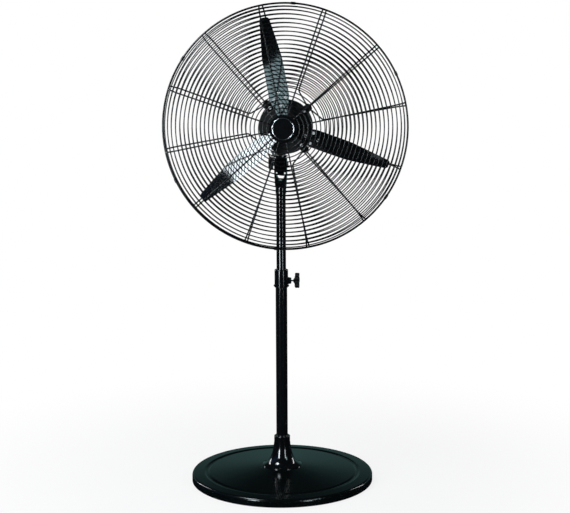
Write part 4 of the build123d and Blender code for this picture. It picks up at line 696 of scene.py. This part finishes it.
def rear_spoke_grids(guard):
    """Rear spokes: one straight to each foot and its two neighbours bent in beside it."""
    step = FULL_TURN / guard.spoke_count
    phase = guard.spoke_phase + guard.rear_turn + FIRST_FOOT_SPOKE * step
    feet = phase + np.arange(GUARD_FEET) * FULL_TURN / GUARD_FEET
    straight = rounded_line(rear_line(guard, REAR_SPOKE_START), [SHOULDER_ROUND])
    grids = [turned_copies(tube(straight, SPOKE_SIDE, guard.spoke_wire, WIRE_SIDES), feet)]
    outer = rear_line(guard, REAR_BEND_RADIUS)
    centre = FOOT_FACE + guard.spoke_wire + guard.weld_gap
    for side in (-1, 1):
        across, up = side * REAR_SPOKE_SIDE, REAR_FOOT_END
        cosine, sine = np.cos(side * step), np.sin(side * step)
        start = (across * cosine - up * sine, across * sine + up * cosine, centre)
        bent = rounded_line([start] + outer, [REAR_BEND_ROUND, SHOULDER_ROUND])
        spoke = tube(bent, SPOKE_SIDE, guard.spoke_wire, WIRE_SIDES)
        grids.append(turned_copies(spoke, feet + side * step))
    return grids


class FAN_OT_guard_rings(Operator):
    """Round wire rings and rims of both guards"""

    bl_idname = "fan.guard_rings"
    bl_label = "Guard rings"

    def execute(self, context):
        guard = context.scene.fan_guard
        for name, line, start, side in (
            ("front", front_line(guard), FRONT_RING_START, 1),
            ("rear", rear_line(guard, REAR_SPOKE_START), REAR_RING_START, -1),
        ):
            radii, stations = ring_places(guard, line, start, side)
            grids = to_world(hoops(radii, stations, guard.ring_wire, RING_TURNS, WIRE_SIDES))
            piece = surface(f"{name}_ring_wires", grids, "head", "wire_black", loop_rows=True)
            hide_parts(f"{name}_guard_rings")
        for name, station in (("front", FRONT_RIM), ("rear", REAR_RIM)):
            place = np.array([RIM_RADIUS]), np.array([station])
            grids = to_world(hoops(*place, RIM_WIRE, RIM_TURNS, RIM_SIDES))
            piece = surface(f"{name}_rim_wire", grids, "head", "wire_black", loop_rows=True)
            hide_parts(f"{name}_guard_rim")
        return {"FINISHED"}


class FAN_OT_guard_spokes(Operator):
    """Round wire spokes of both guards, welded to the rims"""

    bl_idname = "fan.guard_spokes"
    bl_label = "Guard spokes"

    def execute(self, context):
        guard = context.scene.fan_guard
        line = rounded_line(front_line(guard), [SHOULDER_ROUND])
        spoke = tube(line, SPOKE_SIDE, guard.spoke_wire, WIRE_SIDES)
        grids = turned_copies(spoke, spoke_angles(guard, guard.front_turn))
        piece = surface("front_spoke_wires", to_world(grids), "head", "wire_black")
        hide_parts("front_guard_spokes")
        straight, *bent = rear_spoke_grids(guard)
        piece = surface("rear_straight_spokes", to_world(straight), "head", "wire_black")
        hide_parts("rear_guard_spokes")
        surface("rear_bent_spokes", to_world(np.concatenate(bent)), "head", "wire_black")
        return {"FINISHED"}


class FAN_OT_front_cap(Operator):
    """Cap at the middle of the front guard, with a bright trim ring round a sunk face"""

    bl_idname = "fan.front_cap"
    bl_label = "Front cap"

    def execute(self, context):
        low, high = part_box("front_cap")
        radius = (high.x - low.x) / 2
        shelf = -low.y - TRIM_RISE
        corners = [
            (radius - TRIM_INSET - CAP_FACE_DROP, shelf - CAP_FACE_DROP),
            (radius - TRIM_INSET, shelf),
            (radius - CAP_LIP, shelf),
            (radius, shelf - CAP_LIP),
            (radius, -high.y),
        ]
        profile = rounded_line(corners, [CAP_EDGE_ROUND] * (len(corners) - 2), CAP_EDGE_STEPS)
        cap = to_world(turned(profile, CAP_TURNS))
        piece = surface("front_cap_turned", cap, "head", "cap_black")
        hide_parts("front_cap")
        turn = np.arange(TRIM_SIDES) * FULL_TURN / TRIM_SIDES
        middle = radius - (TRIM_INSET + CAP_LIP) / 2
        across = middle + (TRIM_INSET - CAP_LIP) / 2 * np.cos(turn)
        profile = np.stack([across, shelf + TRIM_RISE * np.sin(turn)], axis=-1)
        ring = to_world(turned(profile, CAP_TURNS))
        piece = surface("cap_trim_ring", ring, "head", "bright_steel", loop_rows=True, flip=True)
        wear(piece, "polished_trim")
        return {"FINISHED"}


# Blades, whose edge is given by half widths and radii

BLADE_ROOT = 0.062
BLADE_TIP = 0.355
BLADE_EDGE = [
    (0.001, BLADE_ROOT),
    (0.026, BLADE_ROOT),
    (0.036, 0.100),
    (0.036, 0.222),
    (0.0275, 0.290),
    (0.0185, BLADE_TIP),
    (0.001, BLADE_TIP),
]
BLADE_ROUNDS = [0.014, 0.060, 0.090, 0.060, 0.011]
BLADE_FLAT_END = 0.160
BLADE_HALF = 0.0378
BLADE_BEND = 1.5
BLADE_ROWS = 140
BLADE_COLUMNS = 28


def leaned(across, ahead, angle):
    """Points of a cross-section turned about the blade's length."""
    cosine, sine = np.cos(angle), np.sin(angle)
    return across * cosine + ahead * sine, ahead * cosine - across * sine


def blade_grid(blade):
    """A pressed paddle: each row spans the outline at its radius, sags as a parabola across the sheet
    and twists about its middle, both by a share that grows as a power beyond the flat root."""
    line = rounded_line(BLADE_EDGE, BLADE_ROUNDS)
    lengths = run_lengths(line)
    along = np.linspace(0.0, lengths[-1], BLADE_ROWS)
    half = np.interp(along, lengths, line[:, 0])[:, None]
    radius = np.interp(along, lengths, line[:, 1])[:, None]
    beyond = (radius - BLADE_FLAT_END) / (BLADE_TIP - BLADE_FLAT_END)
    share = np.clip(beyond, 0.0, 1.0) ** BLADE_BEND
    span = np.linspace(-1.0, 1.0, BLADE_COLUMNS)
    across = half * np.concatenate([span, span[::-1]])
    face = np.repeat([blade.sheet, 0.0], BLADE_COLUMNS)
    sag = blade.hollow * share * (1 - (across / BLADE_HALF) ** 2)
    across, ahead = leaned(across, face - sag, blade.twist * share)
    across, ahead = leaned(across, ahead + blade.seat, blade.pitch)
    return np.stack([across, np.broadcast_to(radius, across.shape), ahead + RIM_MIDDLE], axis=-1)


class FAN_OT_blades(Operator):
    """Pressed blades with blunt, rounded tips"""

    bl_idname = "fan.blades"
    bl_label = "Blades"

    def execute(self, context):
        blade = context.scene.fan_blades
        angles = blade.phase + np.arange(blade.count) * FULL_TURN / blade.count
        grids = turned_copies(blade_grid(blade), angles)
        piece = surface("blade_sheets", to_world(grids), "rotor", "blade_black")
        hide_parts("blades")
        return {"FINISHED"}


# Studio

IMAGE_WIDTH = 570
SENSOR_WIDTH = 36.0
FLOOR_SIZE = 60.0
FLOOR_TONES = (0.84, 0.84, 0.84), (0.88, 0.88, 0.88)
SHADE_REACH = (0.3, 1.6)
SHADE_SHARE = 0.17
STRIP_TURN = np.radians(35.0)
STRIP_DISTANCE = 3.0
STRIP_HEIGHT = 0.85
LEFT_SIZE = (0.55, 1.3)
RIGHT_SIZE = (0.35, 1.3)
TOP_PLACE = (-1.6, -1.11, 3.06)
TOP_SIZE = (1.22, 0.93)
TOP_ROLL = np.radians(-30.0)
FILL_PLACE = (2.52, -2.06, 1.68)
FILL_SIZE = (0.57, 0.9)
NEAR_PLACE = (-0.9, -0.77, 1.88)
NEAR_SIZE = (0.42, 0.42)
HEAD_AIM = (0.0, -0.1, 1.2)
REAR_TURN = np.radians(122.0)
REAR_DISTANCE = 3.2
REAR_HEIGHT = 1.6
REAR_SIZE = (0.35, 1.8)
LAMP_AIM = (0.0, 0.0, 1.0)
WHITE = (1.0, 1.0, 1.0)
SKY = (0.85, 0.95, 1.0)
TEAL = (0.66, 0.94, 1.0)
ROOM_SIDE = 5.0
ROOM_FRONT = -8.0
ROOM_BACK = 3.4
ROOM_TOP = 4.6
CARD_GLOW = (0.065, 0.135, 0.13)
CARD_DARK = (0.006, 0.008, 0.010)
CARD_NAVY = (0.03, 0.06, 0.12)
CARD_FADE = (0.9, 2.0)
CARD_LIFT = 0.001


def around(bearing, distance, height):
    """A place about the pole, by its bearing from the front."""
    return (distance * np.sin(bearing), -distance * np.cos(bearing), height)


def aimed(place, target, roll):
    """Matrix of a lamp at a place that shines at a target, rolled about its beam."""
    ahead = Vector(target) - Vector(place)
    turn = ahead.to_track_quat("-Z", "Y").to_matrix().to_4x4()
    return Matrix.Translation(place) @ turn @ Matrix.Rotation(roll, 4, "Z")


def soft_box(name, place, size, power, colour=WHITE, target=LAMP_AIM, roll=0.0):
    """Rectangular studio lamp."""
    lamp = bpy.data.lights.new(name, "AREA")
    lamp.shape = "RECTANGLE"
    lamp.size, lamp.size_y = size
    lamp.energy = power
    lamp.color = colour
    holder = bpy.data.objects.new(name, lamp)
    holder.matrix_world = aimed(place, target, roll)
    holder.visible_camera = False
    bpy.context.scene.collection.objects.link(holder)


def seen_white(bench, plain, lit):
    """The plain shader where it is seen, directly, mirrored or through glass, and the lit one elsewhere."""
    direct = bench.node("ShaderNodeLightPath", output="Is Camera Ray")
    mirrored = bench.node("ShaderNodeLightPath", output="Is Glossy Ray")
    through = bench.node("ShaderNodeLightPath", output="Is Transmission Ray")
    seen = direct + mirrored + through
    return bench.node("ShaderNodeMixShader", {}, {0: seen, 1: lit, 2: plain})


def plane(name, corners, material):
    """Flat stage piece from four corners."""
    mesh = bpy.data.meshes.new(name)
    mesh.from_pydata(corners, [], [(0, 1, 2, 3)])
    mesh.materials.append(material)
    piece = bpy.data.objects.new(name, mesh)
    bpy.context.scene.collection.objects.link(piece)
    return piece


def floor_material():
    """Pale floor: partly shaded round the base, which keeps the shadow, and white by itself farther out."""
    bench = material_bench("floor")
    glow = bench.node("ShaderNodeEmission", {}, {"Color": rgba(WHITE), "Strength": 1.0})
    reach = bench.node("ShaderNodeVectorMath", {"operation": "LENGTH"}, {0: bench.place()}, "Value")
    near, far = SHADE_REACH
    limits = {"From Min": near, "From Max": far, "To Min": SHADE_SHARE, "To Max": 0.0}
    settings = {"interpolation_type": "SMOOTHSTEP"}
    share = bench.node("ShaderNodeMapRange", settings, {"Value": reach, **limits})
    dark, pale = FLOOR_TONES
    tone = bench.mix(bench.noise(scale=3.0, detail=2.0), rgba(dark), rgba(pale))
    matte = bench.node("ShaderNodeBsdfDiffuse", {}, {"Color": tone})
    blend = bench.node("ShaderNodeMixShader", {}, {0: share, 1: glow, 2: matte})
    bench.node("ShaderNodeOutputMaterial", {}, {"Surface": seen_white(bench, blend, matte)})
    return bench.owner


def card_material(name, low_colour, high_colour):
    """Plain card whose colour fades with height."""
    bench = material_bench(name)
    height = bench.node("ShaderNodeSeparateXYZ", {}, {"Vector": bench.place()}, "Z")
    low, high = CARD_FADE
    limits = {"From Min": low, "From Max": high}
    share = bench.node("ShaderNodeMapRange", {}, {"Value": height, **limits})
    tone = bench.mix(share, rgba(low_colour), rgba(high_colour))
    glow = bench.node("ShaderNodeEmission", {}, {"Color": tone})
    bench.node("ShaderNodeOutputMaterial", {}, {"Surface": glow})
    return bench.owner


def card(name, corners, low_colour=CARD_DARK, high_colour=CARD_DARK):
    """Studio card that keeps part of the white room out of reflections."""
    piece = plane(name, corners, card_material(name, low_colour, high_colour))
    piece.visible_camera = False
    piece.visible_diffuse = False
    piece.visible_shadow = False
    piece.visible_transmission = False


class FAN_OT_stage(Operator):
    """Floor, room light, lamps and camera"""

    bl_idname = "fan.stage"
    bl_label = "Stage"

    def execute(self, context):
        studio = context.scene.fan_studio
        self.build_room(context, studio)
        self.build_lamps(studio)
        self.build_camera(context, studio)
        return {"FINISHED"}

    def build_room(self, context, studio):
        half = FLOOR_SIZE / 2
        low = CAD_BOX[0].z
        corners = [(-half, -half, low), (half, -half, low), (half, half, low), (-half, half, low)]
        plane("floor", corners, floor_material())
        self.build_cards(low)
        world = bpy.data.worlds.new("room")
        context.scene.world = world
        bench = Bench(world)
        plain, lit = (
            bench.node("ShaderNodeBackground", {}, {"Color": rgba(WHITE), "Strength": strength})
            for strength in (1.0, studio.ambient)
        )
        bench.node("ShaderNodeOutputWorld", {}, {"Surface": seen_white(bench, plain, lit)})

    def build_cards(self, low):
        side, front, back = ROOM_SIDE, ROOM_FRONT, ROOM_BACK
        ring = [(-side, back), (side, back), (side, front), (-side, front)]
        for name, start, end, low_colour, high_colour in (
            ("back_card", 0, 1, CARD_GLOW, CARD_DARK),
            ("right_card", 1, 2, CARD_DARK, CARD_DARK),
            ("front_card", 2, 3, CARD_DARK, CARD_DARK),
            ("left_card", 3, 0, CARD_DARK, CARD_NAVY),
        ):
            foot, next_foot = ring[start], ring[end]
            corners = [(*foot, low), (*next_foot, low), (*next_foot, ROOM_TOP), (*foot, ROOM_TOP)]
            card(name, corners, low_colour, high_colour)
        card("floor_card", [(*foot, low + CARD_LIFT) for foot in ring])
        card("top_card", [(*foot, ROOM_TOP) for foot in ring])

    def build_lamps(self, studio):
        level = (0.0, 0.0, STRIP_HEIGHT)
        left = around(studio.azimuth - STRIP_TURN, STRIP_DISTANCE, STRIP_HEIGHT)
        right = around(studio.azimuth + STRIP_TURN, STRIP_DISTANCE, STRIP_HEIGHT)
        soft_box("strip_left", left, LEFT_SIZE, studio.left_power, SKY, level)
        soft_box("strip_right", right, RIGHT_SIZE, studio.right_power, SKY, level)
        soft_box("top_box", TOP_PLACE, TOP_SIZE, studio.top_power, SKY, HEAD_AIM, TOP_ROLL)
        soft_box("fill_box", FILL_PLACE, FILL_SIZE, studio.fill_power, TEAL, HEAD_AIM)
        soft_box("near_box", NEAR_PLACE, NEAR_SIZE, studio.near_power, SKY, HEAD_AIM)
        for name, side in (("left", -1), ("right", 1)):
            rear = around(side * REAR_TURN, REAR_DISTANCE, REAR_HEIGHT)
            soft_box(f"rear_box_{name}", rear, REAR_SIZE, studio.rear_power)

    def build_camera(self, context, studio):
        turn = studio.azimuth + studio.yaw
        place = around(studio.azimuth, studio.distance, studio.height)
        level = np.cos(studio.pitch)
        ahead = np.array([-np.sin(turn) * level, np.cos(turn) * level, -np.sin(studio.pitch)])
        right = np.array([np.cos(turn), np.sin(turn), 0.0])
        up = np.cross(right, ahead)
        leaned_right = np.cos(studio.roll) * right + np.sin(studio.roll) * up
        leaned_up = np.cos(studio.roll) * up - np.sin(studio.roll) * right
        pose = np.eye(4)
        pose[:3] = np.stack([leaned_right, leaned_up, -ahead, place], axis=1)
        lens = bpy.data.cameras.new("camera")
        lens.sensor_fit = "HORIZONTAL"
        lens.sensor_width = SENSOR_WIDTH
        lens.lens = SENSOR_WIDTH * studio.focal_pixels / IMAGE_WIDTH
        camera = bpy.data.objects.new("camera", lens)
        camera.matrix_world = Matrix(pose.tolist())
        context.scene.collection.objects.link(camera)
        context.scene.camera = camera
        context.scene.view_settings.view_transform = "Standard"


class FAN_PT_panel(Panel):
    """Lists the fan's operators"""

    bl_label = "Pedestal fan"
    bl_idname = "FAN_PT_panel"
    bl_space_type = "VIEW_3D"
    bl_region_type = "UI"
    bl_category = "Fan"

    def draw(self, context):
        for operator in OPERATORS:
            self.layout.operator(operator.bl_idname)


OPERATORS = (
    FAN_OT_paint_parts,
    FAN_OT_guard_rings,
    FAN_OT_guard_spokes,
    FAN_OT_front_cap,
    FAN_OT_blades,
    FAN_OT_stage,
)
SETTINGS = {
    "fan_guard": GuardSizes,
    "fan_blades": BladeSizes,
    "fan_colours": FinishColours,
    "fan_studio": StudioSettings,
}


def register():
    for group in SETTINGS.values():
        bpy.utils.register_class(group)
    for name, group in SETTINGS.items():
        setattr(bpy.types.Scene, name, PointerProperty(type=group))
    for operator in OPERATORS:
        bpy.utils.register_class(operator)
    bpy.utils.register_class(FAN_PT_panel)


def unregister():
    bpy.utils.unregister_class(FAN_PT_panel)
    for operator in reversed(OPERATORS):
        bpy.utils.unregister_class(operator)
    for name, group in SETTINGS.items():
        delattr(bpy.types.Scene, name)
        bpy.utils.unregister_class(group)


def main():
    register()
    bpy.ops.fan.paint_parts()
    bpy.ops.fan.guard_rings()
    bpy.ops.fan.guard_spokes()
    bpy.ops.fan.front_cap()
    bpy.ops.fan.blades()
    bpy.ops.fan.stage()


if __name__ == "__main__":
    main()
